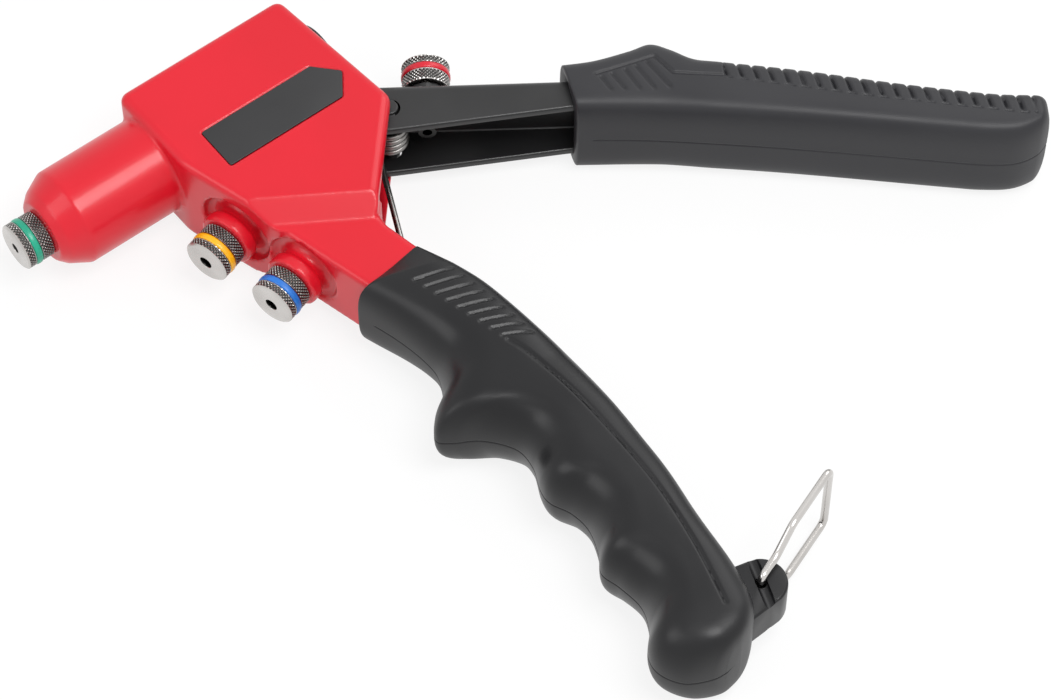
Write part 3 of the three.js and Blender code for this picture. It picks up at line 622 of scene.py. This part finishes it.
head_outline = softened([
    (HEAD_REAR_X, HEAD_TOP_Y, 2.6), (HEAD_FRONT_X, HEAD_TOP_Y, 2.6), (front_at(14), 14, 12),
    (front_at(43), 43, 4), (9.4, 54.4, 3), (-14.5, 28.3, 4)], 10)
arm_outline = softened([
    (front_at(24) - 1.5, 24), tuple(ARM_FOOT), (16.4, 96, 30), (14, 122, 30), (14.5, CORE_END_Y, 3),
    (2, CORE_END_Y, 3), (0.6, 122, 30), (2, 98, 20), (*HEEL, 12), (8.3, 57, 3), (8, 53.5), (0, 45), (0, 24)])
HEAD_RIM, ARM_RIM = 2.2, 1.6
casting = solid_object("head_casting", [plate(head_outline, -HEAD_HALF, HEAD_HALF, HEAD_RIM, 6)])
combine(casting, "UNION", [plate(arm_outline, -ARM_HALF, ARM_HALF, ARM_RIM, 5)])
print("head and arm:", len(casting.data.polygons), "faces")

# %% nose barrel
BARREL_RADIUS, BORE_RADIUS = 13.0, 9.0
FLARE = 5.0
a = np.linspace(0, np.pi / 2, 9)
flare_arc = np.stack([HEAD_FRONT_X + FLARE * (1 - np.cos(a)), BARREL_RADIUS + FLARE * (1 - np.sin(a))], 1)
flare_profile = np.concatenate([[(36, BARREL_RADIUS + FLARE)], flare_arc, [(46, BARREL_RADIUS - 0.1)]])
flare = solid_object("flare", [shell(turned(flare_profile))])
clip = softened([(30, HEAD_TOP_Y, 1), (50, HEAD_TOP_Y, 1), (50, 30, 1), (30, 30, 1)])
combine(flare, "INTERSECT", [plate(clip, -HEAD_HALF, HEAD_HALF, HEAD_RIM, 6)])
barrel_profile = softened([(30, BARREL_RADIUS), (66, BARREL_RADIUS, 0.7), (71.0, 10.4, 2.4),
                           (SEAT_X, 8.3, 0.6), (SEAT_X, 4.0)], 6)
combine(casting, "UNION", [shell(turned(barrel_profile, 128))])
combine_with(casting, "UNION", flare)
print("with the barrel:", len(casting.data.polygons), "faces")

# %% [markdown]
# Between head and arm the faces step down by 4 mm over a short slope on both sides. Two wedges cut it.
# Round each stored nosepiece a shallow ring-shaped hollow is cut into the wall, and the boss stands
# in the middle of it with a collar on a slimmer neck.

# %% slopes and bosses
SLOPE_WIDTH, BOSS_DEPTH, BOSS_RADIUS, NECK_RADIUS = 6.2, 12.0, 7.4, 6.3

def slope_cutter(side):
    """A wedge above the slope, whose section runs from the head's face down to the arm's face."""
    start, end = np.array([29.8, 33.9]), np.array([6.5, 49.0])
    d = (end - start) / np.linalg.norm(end - start)
    m = np.array([d[1], -d[0]])
    section = [(0, HEAD_HALF), (SLOPE_WIDTH, ARM_HALF), (18, ARM_HALF), (18, 22), (0, 22)]
    ends = [start - d * 20, end + d * 20]
    rings = [[(*(p + m * u), side * z) for u, z in section] for p in ends]
    return shell(np.array(rings))

def boss(seat):
    """A collar with soft rims on a slimmer neck. Distances run from the seat into the wall."""
    profile = softened([(0, 4.0), (0, BOSS_RADIUS, 0.5), (-3.2, BOSS_RADIUS, 0.6), (-3.8, NECK_RADIUS, 0.4),
                        (-BOSS_DEPTH, NECK_RADIUS), (-BOSS_DEPTH, 4.0)], 6)
    return shell(aimed(turned(profile[1:-1]), seat, ARM_TILT))

def hollow_ring(seat):
    """An oval ring cut round a boss: its middle lies at the wall's face."""
    a = 2 * np.pi * np.arange(20) / 20
    profile = np.stack([-4.6 + 2.2 * np.sin(a), 8.3 + 2.0 * np.cos(a)], 1)
    return shell(aimed(turned(profile), seat, ARM_TILT), hollow=True)

store_seats = [SEATS["yellow"][0], SEATS["blue"][0]]
combine(casting, "DIFFERENCE", [slope_cutter(1), slope_cutter(-1)])
combine(casting, "DIFFERENCE", [hollow_ring(seat) for seat in store_seats])
combine(casting, "UNION", [boss(seat) for seat in store_seats])
print("with slopes and bosses:", len(casting.data.polygons), "faces")

# %% holes in the casting
CAVITY_HALF, BORE_END_X = 11.3, SEAT_X - 9.2
PIN_HEAD, PIN_SHOULDER, PIN_RADIUS = 5.0, 13.2, 3.0
LABEL_DEPTH, PLUG_RADIUS = 0.8, 10.3
label_points = [(29.8, 9), (29.8, 21.6), (-4.6, 21.6), (-9, 15.5), (-9, 14.8), (-3.6, 9)]

def bar(x0, x1, radius, at=(0, 0), degrees=0.0, sides=64):
    """A plain round bar along a direction in the middle plane."""
    return shell(aimed(turned([(x0, radius), (x1, radius)], sides), at, degrees))

def grown(points, by):
    """An outline moved outwards by a distance."""
    return plate(np.array(points, float), 0, 1, -by, 1)[0][:len(points), :2]

cavity = np.array([(-7, -10.6), (28, -10.6), (28, 9.5), (23, 27), (9, 44.5), (-6, 66), (-45, 50),
                   (-40, 12.2), (-7, 12.2)])
combine(casting, "DIFFERENCE", [plate(cavity, -CAVITY_HALF, CAVITY_HALF, 0.01, 1)])
combine(casting, "DIFFERENCE", [bar(24, BORE_END_X, BORE_RADIUS)])
combine(casting, "DIFFERENCE", [bar(BORE_END_X - 2, SEAT_X + 5, STEM_RADIUS + GAP)])
store_end = -STEM_LENGTH - TAIL_LENGTH - GAP
combine(casting, "DIFFERENCE", [bar(store_end, 2, STEM_RADIUS + GAP, at, ARM_TILT) for at in store_seats])
combine(casting, "DIFFERENCE", [bar(-20, -5, PLUG_RADIUS + GAP)])
pin_hole = turned([(-20, PIN_HEAD + GAP), (GAP - PIN_SHOULDER, PIN_HEAD + GAP),
                   (GAP - PIN_SHOULDER, PIN_RADIUS + 0.2), (14.5, PIN_RADIUS + 0.2)])
combine(casting, "DIFFERENCE", [shell(upright(pin_hole, PIVOT))])
recess = grown(label_points, GAP)
combine(casting, "DIFFERENCE", [plate(recess, HEAD_HALF - LABEL_DEPTH, 18, 0.01, 1)])
print("with its holes:", len(casting.data.polygons), "faces")

# %% cast skin
def cast_skin(obj, voxel, rounds, limit=190000):
    """Covers the solid with an even net of small faces, relaxes it, and thins it under the limit."""
    remesh = obj.modifiers.new("even_net", "REMESH")
    remesh.mode = "VOXEL"
    remesh.voxel_size = voxel * MM
    relax = obj.modifiers.new("relax", "SMOOTH")
    relax.factor, relax.iterations = 0.5, rounds
    after_modifiers(obj)
    triangles = 2 * len(obj.data.polygons)
    if triangles > limit:
        thin = obj.modifiers.new("thin", "DECIMATE")
        thin.ratio = limit / triangles
        after_modifiers(obj)
    obj.data.shade_smooth()

cast_skin(casting, 0.5, 2)
settle(casting, red_paint, "frame", ["body_casting"])

# %% [markdown]
# ## Label plate, pins, plug and nut
# These are simple turned or stamped pieces. What makes them read as metal is the small chamfer on
# every rim, which catches the light, so each profile has one.

# %% label plate
plate_outline = softened([(x, y, 0.5) for x, y in label_points], 4)
piece("label_plate_blank", [plate(plate_outline, HEAD_HALF - LABEL_DEPTH + GAP, HEAD_HALF, 0.15, 3)],
      label_grey, "frame", ["label_plate"])

# %% pins, plug and nut
pin_profile = softened([(0.1 - HEAD_HALF, 3.6), (0.1 - HEAD_HALF, PIN_HEAD, 0.5),
                        (-PIN_SHOULDER, PIN_HEAD, 0.2), (-PIN_SHOULDER, PIN_RADIUS),
                        (14.1, PIN_RADIUS), (14.1, 1.0)], 5)[1:-1]
piece("main_pin", [shell(upright(turned(pin_profile), PIVOT))], nickel, "frame",
      ["pivot_pin"])

FLANGE_X, FLANGE_EDGE, PLUG_FACE_X = HEAD_REAR_X - 2.65, 0.6, -9.4
plug_profile = softened([
    (FLANGE_X - FLANGE_EDGE, 4.1, 0.3), (FLANGE_X - FLANGE_EDGE, PLUG_RADIUS + 0.15, 0.3),
    (FLANGE_X, PLUG_RADIUS + 0.15, 0.1), (FLANGE_X, PLUG_RADIUS, 0.1),
    (-7, PLUG_RADIUS, 0.4), (-7, 8), (PLUG_FACE_X, 8), (PLUG_FACE_X, 1.9), (FLANGE_X + 0.2, 1.9, 0.2)], 4)
piece("rear_plug_ring", [shell(turned(plug_profile), hollow=True)], black_steel, "frame",
      ["rear_plug"])

def hex_nut(height, across, hole, sides=180):
    """Rings of a nut: the radius is the hexagon's, across / cos(angle to the nearest flat), but never
    more than the chamfer cone at that height. The last rows come back down the hole."""
    angle = 2 * np.pi * np.arange(sides) / sides
    sixth = math.pi / 6
    hexagon = across * math.cos(sixth) / np.cos((angle + sixth) % (math.pi / 3) - sixth)
    levels = [(GAP, 0.86), (GAP + 0.25, 0.93), (GAP + 0.7, 1.2), (height - 0.8, 1.2), (height - 0.3, 0.95),
              (height, 0.86)]
    rows = [(x, np.minimum(hexagon, across * cone)) for x, cone in levels]
    rows += [(x, np.full(sides, r)) for x, r in ((height, hole + 0.3), (height - 0.3, hole), (GAP, hole))]
    return np.stack([np.stack([np.full(sides, x), r * np.cos(angle), r * np.sin(angle)], -1)
                     for x, r in rows])

nut = hex_nut(NUT_HEIGHT, NUT_RADIUS, STEM_RADIUS + GAP)
nut = aimed(nut, on_channel(NUT_AT, 0), CHANNEL_ANGLE + 90)
piece("storage_hex_nut", [shell(nut, hollow=True)], black_steel, "lever", ["storage_nut"],
      sharp=25)

# %% [markdown]
# ## The lever channel
# The lever is folded from 2.2 mm sheet: a web along its back and two flanges that get shallower
# towards the hand. A folded corner has an outer and an inner radius, so the section is one closed
# outline with arcs, carried along the lever. Only the flange edges move as their depth changes.

# %% channel
CHANNEL_HALF, SHEET = 10.2, 2.2
FLANGE_ROOT, FLANGE_TIP = 14.8, 9.2
CHANNEL_START_S, CHANNEL_MOUTH, CHANNEL_LENGTH = -13.5, 46.7, 95.0
SPRING_PIN, SPRING_PIN_HOLE = on_channel(0.6, 7.9), 2.75

def channel_rings(rows=60):
    """Each row is the folded section at s along the lever, as points (depth, height)."""
    s = np.linspace(CHANNEL_START_S, CHANNEL_LENGTH, rows)
    half, inner, edge = CHANNEL_HALF, CHANNEL_HALF - SHEET, FLANGE_ROOT
    section = softened([
        (edge, half, 0.6), (0, half, 2.9), (0, -half, 2.9), (edge, -half, 0.6), (edge, -inner, 0.6),
        (SHEET, -inner, 0.7), (SHEET, inner, 0.7), (edge, inner, 0.6)], 6)
    lip = section[:, 0] > edge / 2
    depth = np.interp(s, [0, CHANNEL_MOUTH, CHANNEL_LENGTH], [FLANGE_ROOT, FLANGE_TIP, FLANGE_TIP])
    depths = section[None, :, 0] + np.where(lip, depth[:, None] - edge, 0)
    d = heading(CHANNEL_ANGLE)
    x = CHANNEL_START[0] + s[:, None] * d[0] + depths * d[1]
    y = CHANNEL_START[1] + s[:, None] * d[1] - depths * d[0]
    return np.stack([x, y, np.repeat(section[None, :, 1], rows, 0)], -1)

channel = solid_object("folded_lever", [shell(channel_rings())])
hole = turned([(-20, SPRING_PIN_HOLE), (20, SPRING_PIN_HOLE)], 48)
combine(channel, "DIFFERENCE", [shell(upright(hole, SPRING_PIN))])
channel.data.shade_smooth()
channel.data.set_sharp_from_angle(angle=math.radians(30))
settle(channel, black_steel, "lever", ["lever_channel"])

# %% ears and fork inside the head
FORK_TIP = PIVOT + 16.5 * np.array([math.sin(math.radians(15)), -math.cos(math.radians(15))])
FORK_RADIUS, EAR_RADIUS = 3.5, 8.5

def arc(centre, radius, start, end, steps=12):
    """Points on an arc between two directions in degrees."""
    return [tuple(centre + heading(angle) * radius) for angle in np.linspace(start, end, steps)]

ear_outline = np.array([tuple(on_channel(2, 1.5)), tuple(on_channel(-14, 1.5)),
                        (FORK_TIP[0] - FORK_RADIUS, 7.2),
                        *arc(FORK_TIP, FORK_RADIUS, 180, 360),
                        *arc(PIVOT, EAR_RADIUS, CHANNEL_ANGLE - 165, CHANNEL_ANGLE - 90),
                        tuple(on_channel(0, FLANGE_ROOT - 0.6)), tuple(on_channel(2, FLANGE_ROOT - 0.8))])
ears = [plate(ear_outline, low, low + SHEET - 0.1, 0.3, 3)
        for low in (-CHANNEL_HALF + 0.05, CHANNEL_HALF - SHEET + 0.05)]
piece("lever_ears", ears, black_steel, "lever")

# %% spring pin
pin_end = softened([(CHANNEL_HALF + 0.6, 1.0), (CHANNEL_HALF + 0.6, 2.2, 0.4), (0, 2.2)], 5)[1:-1]
pin_rings = turned(np.concatenate([pin_end * [-1, 1], pin_end[::-1]]), 48)
piece("spring_pin_rivet", [shell(upright(pin_rings, SPRING_PIN))], black_steel, "lever",
      ["spring_pin"])

# %% [markdown]
# ## Springs and the hanging wire
# A wire is a circle carried along a line. The circle needs two directions across the line at every
# point. A fixed reference direction gives both by cross products, which is steady as long as the
# wire never runs along that reference: upwards for the coil, across the loop for the flat bail.

# %% wire
def wire(path, radius, reference, sides=20):
    """Rings of a round wire: at each path point the ring lies in the plane across the path."""
    path = np.asarray(path, float)
    along = np.gradient(path, axis=0)
    along /= np.linalg.norm(along, axis=1)[:, None]
    side = np.cross(along, np.asarray(reference, float))
    side /= np.linalg.norm(side, axis=1)[:, None]
    up = np.cross(side, along)
    a = (2 * np.pi * np.arange(sides) / sides)[None, :, None]
    return path[:, None] + radius * (np.cos(a) * side[:, None] + np.sin(a) * up[:, None])

def evenly(path, count):
    """The same path with evenly spaced points."""
    path = np.asarray(path, float)
    length = np.concatenate([[0], np.cumsum(np.linalg.norm(np.diff(path, axis=0), axis=1))])
    where = np.linspace(0, length[-1], count)
    return np.stack([np.interp(where, length, path[:, k]) for k in range(3)], 1)

# %% handle spring
SPRING_WIRE, SPRING_RADIUS, SPRING_TURNS, COIL_GAP = 0.8, 3.9, 4, 0.3
ARM_END = np.array([2.6, 54.4])

def handle_spring_path():
    """A straight leg to the arm, a helix round the pin, and a short leg along the web. The helix
    starts where the long leg is tangent to it, and ends on the web side, where its tangent runs back
    along the lever."""
    low = -(2 * SPRING_WIRE + COIL_GAP) * SPRING_TURNS / 2
    reach = ARM_END - SPRING_PIN
    lean = math.degrees(math.atan2(reach[1], reach[0]))
    start = lean - math.degrees(math.acos(SPRING_RADIUS / np.linalg.norm(reach)))
    end = CHANNEL_ANGLE + 90
    turns = SPRING_TURNS - 1 + ((end - start) % 360) / 360
    share = np.linspace(0, 1, 260)
    angle = np.radians(start + 360 * turns * share)
    helix = np.stack([SPRING_PIN[0] + SPRING_RADIUS * np.cos(angle),
                      SPRING_PIN[1] + SPRING_RADIUS * np.sin(angle), low * (1 - 2 * share)], 1)
    long_leg = np.linspace([*ARM_END, low], helix[0], 20)[:-1]
    d = heading(CHANNEL_ANGLE)
    short_leg = np.linspace(helix[-1] - [*d, 0], helix[-1] - [*(5 * d), 0], 5)
    return np.concatenate([long_leg, helix, short_leg])

spring_rings = wire(evenly(handle_spring_path(), 420), SPRING_WIRE, (0, 0, 1))
piece("handle_spring_wire", [shell(spring_rings)], spring_wire, "lever",
      ["handle_spring"])

# %% bail
LUG = np.array([-1.4, 189.3])
BAIL_ANGLE, BAIL_REACH, BAIL_HALF, BAIL_WIRE = 199.9, 31.5, 12.0, 1.0

def bail_path():
    """A flat loop of straight stretches with rounded bends: points are (reach, height)."""
    side = [(0, 7.2, 1.5), (6.8, 7.6, 6), (14.2, BAIL_HALF, 5), (BAIL_REACH, BAIL_HALF, 2.0)]
    loop = softened([(0, 0), *side, *[(r, -z, bend) for r, z, bend in side[::-1]]], 10)
    loop = np.concatenate([loop, loop[:1]])
    d = heading(BAIL_ANGLE)
    return np.stack([LUG[0] + d[0] * loop[:, 0], LUG[1] + d[1] * loop[:, 0], loop[:, 1]], 1)

d = heading(BAIL_ANGLE)
loop = evenly(bail_path(), 361)[:-1]
closed = wire(np.concatenate([loop[-2:], loop, loop[:2]]), BAIL_WIRE, (-d[1], d[0], 0), 24)[2:-2]
piece("bail_wire", [shell(closed, hollow=True)], nickel, "bail", ["bail"])

# %% [markdown]
# ## The grips
# A moulded grip is a lofted form: each station has a back point, a front point and a half thickness,
# and a squarish oval between them, boxy on one side and round on the other. Seams, ribs and grooves
# are moves of the surface along its own normal, worked out from each point's place on the grip. The
# mesh is finer where those details are.

# %% section and grid
def oval(angle, square):
    """Points of a squarish oval inside a 2 by 2 square: the ray at an angle meets it at distance
    (|cos|^n + |sin|^n)^(-1/n), with a high n for a boxy corner."""
    c, s = np.cos(angle), np.sin(angle)
    distance = (np.abs(c) ** square + np.abs(s) ** square) ** (-1 / square)
    return c * distance, s * distance

def column_angles(columns, fine):
    """Angles round the section, spaced evenly by length and closer where fine(angle) is higher."""
    angle = np.linspace(-np.pi, np.pi, 20001)
    x, y = oval(angle, 4.0)
    step = np.hypot(np.diff(x), np.diff(y)) * fine((angle[:-1] + angle[1:]) / 2)
    total = np.concatenate([[0], np.cumsum(step)])
    return np.interp(np.arange(columns) / columns * total[-1], total, angle)

def back_is_finer(angle):
    """Weight 1 on the back half, less on the front half, with a fine strip at the seam in front."""
    return np.where(np.abs(angle) > 1.2, 1.0, 0.42) + 3.0 * np.exp(-(angle / 0.06) ** 2)

def loft(back, front, half, square_back, square_front, angle):
    """Grid of points: across runs from the back point to the front point, height from -half to half."""
    square = np.where(np.cos(angle)[None] < 0, square_back[:, None], square_front[:, None])
    u, v = oval(np.broadcast_to(angle, square.shape), square)
    across = (0.5 + 0.5 * u)[..., None]
    flat = back[:, None] + (front - back)[:, None] * across
    return np.concatenate([flat, (v * half[:, None])[..., None]], -1)

def raised(grid, height):
    """Moves each point along the surface's own normal, the cross product of the grid's directions."""
    across = np.roll(grid, -1, 1) - np.roll(grid, 1, 1)
    along = np.gradient(grid, axis=0)
    normal = np.cross(across, along)
    normal /= np.maximum(np.linalg.norm(normal, axis=2), 1e-9)[..., None]
    outward = grid - grid.mean(1)[:, None]
    if (normal * outward).sum() < 0:
        normal = -normal
    return grid + normal * height[..., None]

def distance_to(points, line):
    """Distance in the drawing plane from each point to a line through the listed corners."""
    best = np.full(points.shape[:-1], np.inf)
    line = np.asarray(line, float)
    for a, b in zip(line[:-1], line[1:]):
        t = np.clip(((points - a) @ (b - a)) / ((b - a) @ (b - a)), 0, 1)
        best = np.minimum(best, np.linalg.norm(points - (a + t[..., None] * (b - a)), axis=-1))
    return best

def groove(distance, width, depth):
    """A rounded groove: minus depth in the middle, fading as a bell curve of the given width."""
    return -depth * np.exp(-(distance / width) ** 2)

print("columns at the seam:", np.sum(np.abs(column_angles(220, back_is_finer)) < 0.06))

# %% mouth of a grip
RIM, POCKET_DEPTH, POCKET_GAP, POCKET_SQUARE = 0.9, 12.0, 0.35, 12.0

def with_mouth(grid, pocket_back, pocket_front, pocket_half, angle, inward):
    """Adds rows before the first one: a rounded rim that turns in, then a wall down into the pocket.
    The rim blends from the outer section to a boxy one round the metal that the grip holds."""
    u, v = oval(angle, POCKET_SQUARE)
    across = (0.5 + 0.5 * u)[:, None]
    flat = pocket_back + (pocket_front - pocket_back) * across
    wall = np.concatenate([flat, (v * pocket_half)[:, None]], 1)
    inward = np.array([*inward, 0.0])
    rows = [wall + inward * POCKET_DEPTH, wall + inward * POCKET_DEPTH / 2, wall + inward * RIM]
    for a in np.linspace(0, np.pi, 7)[:-1]:
        share = 0.5 - 0.5 * math.cos(a)
        rows.append(wall + (grid[0] - wall) * share + inward * RIM * (1 - share - math.sin(a)) / 2)
    return np.concatenate([np.array(rows), grid])

# %% [markdown]
# The moving grip is a long sleeve over the channel with a raised thumb stop near its mouth. A
# chevron line and five short slanted grooves mark that stop, about twenty ribs run round its back,
# and the mould's seam crosses the front face at half height.

# %% moving grip
GRIP_HALF = 14.0
GROOVE_WIDTH, SEAM_WIDTH, SEAM_DEPTH = 0.42, 0.22, 0.16
moving_back = [(44, -4.4), (52, -5.6), (61, -8.6), (66.5, -10.8), (71.5, -8.8), (77, -5.5), (84, -4.2),
               (104, -0.7), (128, 4.5), (150, 8.6), (162.8, 10.4), (165.6, 12.8)]
moving_front = [(48, 12.4), (60, 12.8), (72, 13.7), (96, 16.4), (120, 19.7), (142, 22.9), (150, 23.9),
                (157.5, 23.8), (163, 21.4), (165.8, 18)]
chevron = [(52.7, 1.8), (67.5, -3.3), (72.0, 2.2), (85.0, 3.4)]
slants = [((53.9, 2.8), (56.2, 6.6)), ((56.7, 2.0), (59.7, 6.5)), ((60.0, 0.8), (63.4, 6.6)),
          ((62.8, -0.3), (67.0, 6.4)), ((65.6, -1.5), (71.0, 6.3))]
RIB_START, RIB_END, RIB_PITCH = 85.5, 162.0, 3.85

def on_face(z):
    """1 on the flat faces of a grip and 0 on its edges."""
    return np.clip((np.abs(z) / GRIP_HALF - 0.72) / 0.12, 0, 1)

def seamed(grid, height, angle, share):
    """Raises the grid by the details and by the mould's seam along the front. Both fade at the mouth."""
    seam = groove(grid[..., 2], SEAM_WIDTH, SEAM_DEPTH) * (np.cos(angle) > 0)[None] * (share > 0.03)[:, None]
    edge = np.clip(share / 0.012, 0, 1)[:, None]
    return raised(grid, (height + seam) * edge)

def rib_line(s):
    """Depth of the line at which the ribs end, s along the lever."""
    return np.interp(s, [85, 122, 160], [3.3, 10.8, 17.4])

def moving_details(s, depth, z):
    """Height of the surface over its smooth form, in mm."""
    face = on_face(z)
    here = np.stack([s, depth], -1)
    height = sum(face * groove(distance_to(here, line), GROOVE_WIDTH, 0.55) for line in [chevron, *slants])
    lean = s - 0.22 * (depth - rib_line(s))
    phase = ((lean - RIB_START) / RIB_PITCH + 0.5) % 1 - 0.5
    inside = 1 / (1 + np.exp((depth - rib_line(s)) / 0.18))
    inside = inside * np.clip((s - RIB_START + 1) / 0.6, 0, 1) * np.clip((RIB_END - s) / 0.6, 0, 1)
    pad = -0.85 * np.exp(-(phase * RIB_PITCH / 0.42) ** 2)
    dash = np.where(np.abs(phase) < 0.3, 1.0, 0.0) * (s > RIB_START) * (s < RIB_END)
    height = height + inside * pad + face * dash * groove(depth - rib_line(s) - 0.7, 0.28, 0.3)
    return height

def moving_grip(rows=390, columns=240):
    """Grid of the sleeve, from its mouth to its blunt end."""
    share = np.linspace(0, 1, rows)
    back, front = flowing(moving_back, share), flowing(moving_front, share)
    end = np.minimum(1, (1 - share) / 0.035)
    half = GRIP_HALF * (0.55 + 0.45 * np.sqrt(end * (2 - end)))
    angle = column_angles(columns, back_is_finer)
    grid = loft(back, front, half, np.full(rows, 3.4), np.full(rows, 5.0), angle)
    height = moving_details(grid[..., 0], grid[..., 1], grid[..., 2])
    return seamed(grid, height, angle, share), angle

grid, angle = moving_grip()
grid = with_mouth(grid, np.array([45.2, -POCKET_GAP]), np.array([46.6, FLANGE_TIP + POCKET_GAP]),
                  CHANNEL_HALF + POCKET_GAP, angle, (1, 0))
d = heading(CHANNEL_ANGLE)
flat = CHANNEL_START + grid[..., :1] * d + grid[..., 1:2] * np.array([d[1], -d[0]])
moving = np.concatenate([flat, grid[..., 2:]], -1)
piece("moving_grip_sleeve", [shell(moving)], satin_grey, "lever", ["moving_grip"],
      sharp=75)

# %% [markdown]
# The fixed grip is held by four fingers, so its front line swells and hollows, with a large guard
# below the trigger finger. Its back is flatter, with a thin line along it and a comb of nine short
# grooves near the mouth. It gets rounder in the hollows and fuller on the swells.

# %% fixed grip
fixed_back = [(1.2, 77.3), (-1.2, 86), (-2.9, 99.2), (-4.2, 114), (-4.1, 132), (-2.7, 152), (0, 170),
              (1.8, 184), (4.4, 193.3), (8.5, 197.8), (13.4, 200)]
fixed_front = [(26.3, 68.7), (23.1, 79.4), (21.5, 88.7), (21.8, 95.2), (25.1, 101.1), (30.5, 105.1),
               (33.1, 109), (30.2, 112), (24.3, 115.8), (19.4, 122.6), (19.3, 129), (21.9, 135.4),
               (22.2, 139.6), (20, 145), (19.6, 151), (21.8, 157.4), (24.7, 162.2), (23.6, 167.8),
               (23, 175), (25.4, 181), (30, 186.2), (30.8, 191.4), (27.8, 197), (22, 200.2), (18, 200.8)]
back_groove = [(6.9, 103.6), (4.9, 111.1), (3.5, 126.3), (3.5, 146.6), (4.7, 162.0), (7.8, 177.4),
               (12.0, 192.0)]
comb = [((14.2 - 0.875 * k, 76.2 + 3.22 * k), (4.6 - 0.49 * k, 78.9 + 3.29 * k)) for k in range(9)]
swells = [(108.0, 6.0), (137.5, 5.0), (162.5, 5.5), (190.0, 7.0)]

def fixed_details(grid):
    """Height of the surface over its smooth form, in mm."""
    face, here = on_face(grid[..., 2]), grid[..., :2]
    smooth_line = flowing(back_groove, np.linspace(0, 1, 30))
    height = face * groove(distance_to(here, smooth_line), GROOVE_WIDTH, 0.5)
    return height + sum(face * groove(distance_to(here, line), GROOVE_WIDTH, 0.45) for line in comb)

def fixed_grip(rows=370, columns=250):
    """Grid of the grip, from its mouth to its heel."""
    share = np.linspace(0, 1, rows)
    back, front = flowing(fixed_back, share), flowing(fixed_front, share)
    end = np.minimum(1, (1 - share) / 0.09)
    half = GRIP_HALF * (0.5 + 0.5 * np.sqrt(end * (2 - end))) + 0.7 * np.exp(-(((share - 0.9) / 0.07) ** 2))
    angle = column_angles(columns, back_is_finer)
    swell = sum(np.exp(-((front[:, 1] - at) / width) ** 2) for at, width in swells)
    near_mouth = np.exp(-(share / 0.1) ** 2)
    square_front = 2.15 + 0.45 * np.clip(swell, 0, 1) + 1.4 * near_mouth
    grid = loft(back, front, half, np.full(rows, 4.2), square_front, angle)
    return seamed(grid, fixed_details(grid), angle, share), angle

grid, angle = fixed_grip()
down_arm = heading(ARM_TILT + 90)
pocket_front = ARM_FOOT + heading(ARM_TILT) * POCKET_GAP + down_arm * 4.2
pocket_back = ARM_FOOT - heading(ARM_TILT) * (ARM_WIDTH + POCKET_GAP) + down_arm * 6.5
grid = with_mouth(grid, pocket_back, pocket_front, ARM_HALF + POCKET_GAP, angle, down_arm)
fixed_shell = shell(grid)

# %% [markdown]
# The lug at the heel carries the hanging wire. It is a stubby block with a round end, moulded
# together with the grip, with a shallow channel across each face in which the wire's root lies.

# %% lug
LUG_RADIUS, LUG_HALF, LUG_HOLE, TROUGH_RADIUS = 6.4, 5.8, 1.5, 1.7
TROUGH_RUN = math.degrees(math.atan2(9.5, 3.4))

def lug_outline():
    """The round end about the hole, closed by a root inside the grip."""
    return softened([(7.5, 180.5, 1), *[(*p, 0) for p in arc(LUG, LUG_RADIUS, 262, 98, 24)], (9.5, 196.0, 1)])

lug = solid_object("lug", [plate(lug_outline(), -LUG_HALF, LUG_HALF, 0.7, 4)])
for side in (-1, 1):
    trough = aimed(turned([(-12, TROUGH_RADIUS), (12, TROUGH_RADIUS)], 32), LUG, TROUGH_RUN)
    combine(lug, "DIFFERENCE", [shell(trough + np.array([0, 0, side * (LUG_HALF + 0.9)]))])
combine(lug, "DIFFERENCE", [shell(upright(turned([(-9, LUG_HOLE), (9, LUG_HOLE)], 32), LUG))])
lug_points = np.array([v.co for v in lug.data.vertices]) / MM - zero
lug_faces = [list(p.vertices) for p in lug.data.polygons]
bpy.data.objects.remove(lug)
piece("fixed_grip_moulding", [fixed_shell, (lug_points, lug_faces)], soft_black, "frame",
      ["fixed_grip"], sharp=60)

# %% [markdown]
# ## Pieces kept from the frame
# The jaw case, jaws, pusher and the two coil springs inside the head hardly show. Their shape is
# right already, so they keep their mesh and only get a better finish.

# %% finishes of the kept pieces
KEPT = {"jaw_case_front": nickel, "jaw_case_rear": nickel, "jaw_1": nickel, "jaw_2": nickel, "jaw_3": nickel,
        "jaw_pusher": nickel, "pusher_spring": spring_wire, "return_spring": spring_wire}
for node, material in KEPT.items():
    for material_slot in frame["nodes"][node].material_slots:
        material_slot.material = material
print("kept:", ", ".join(KEPT))
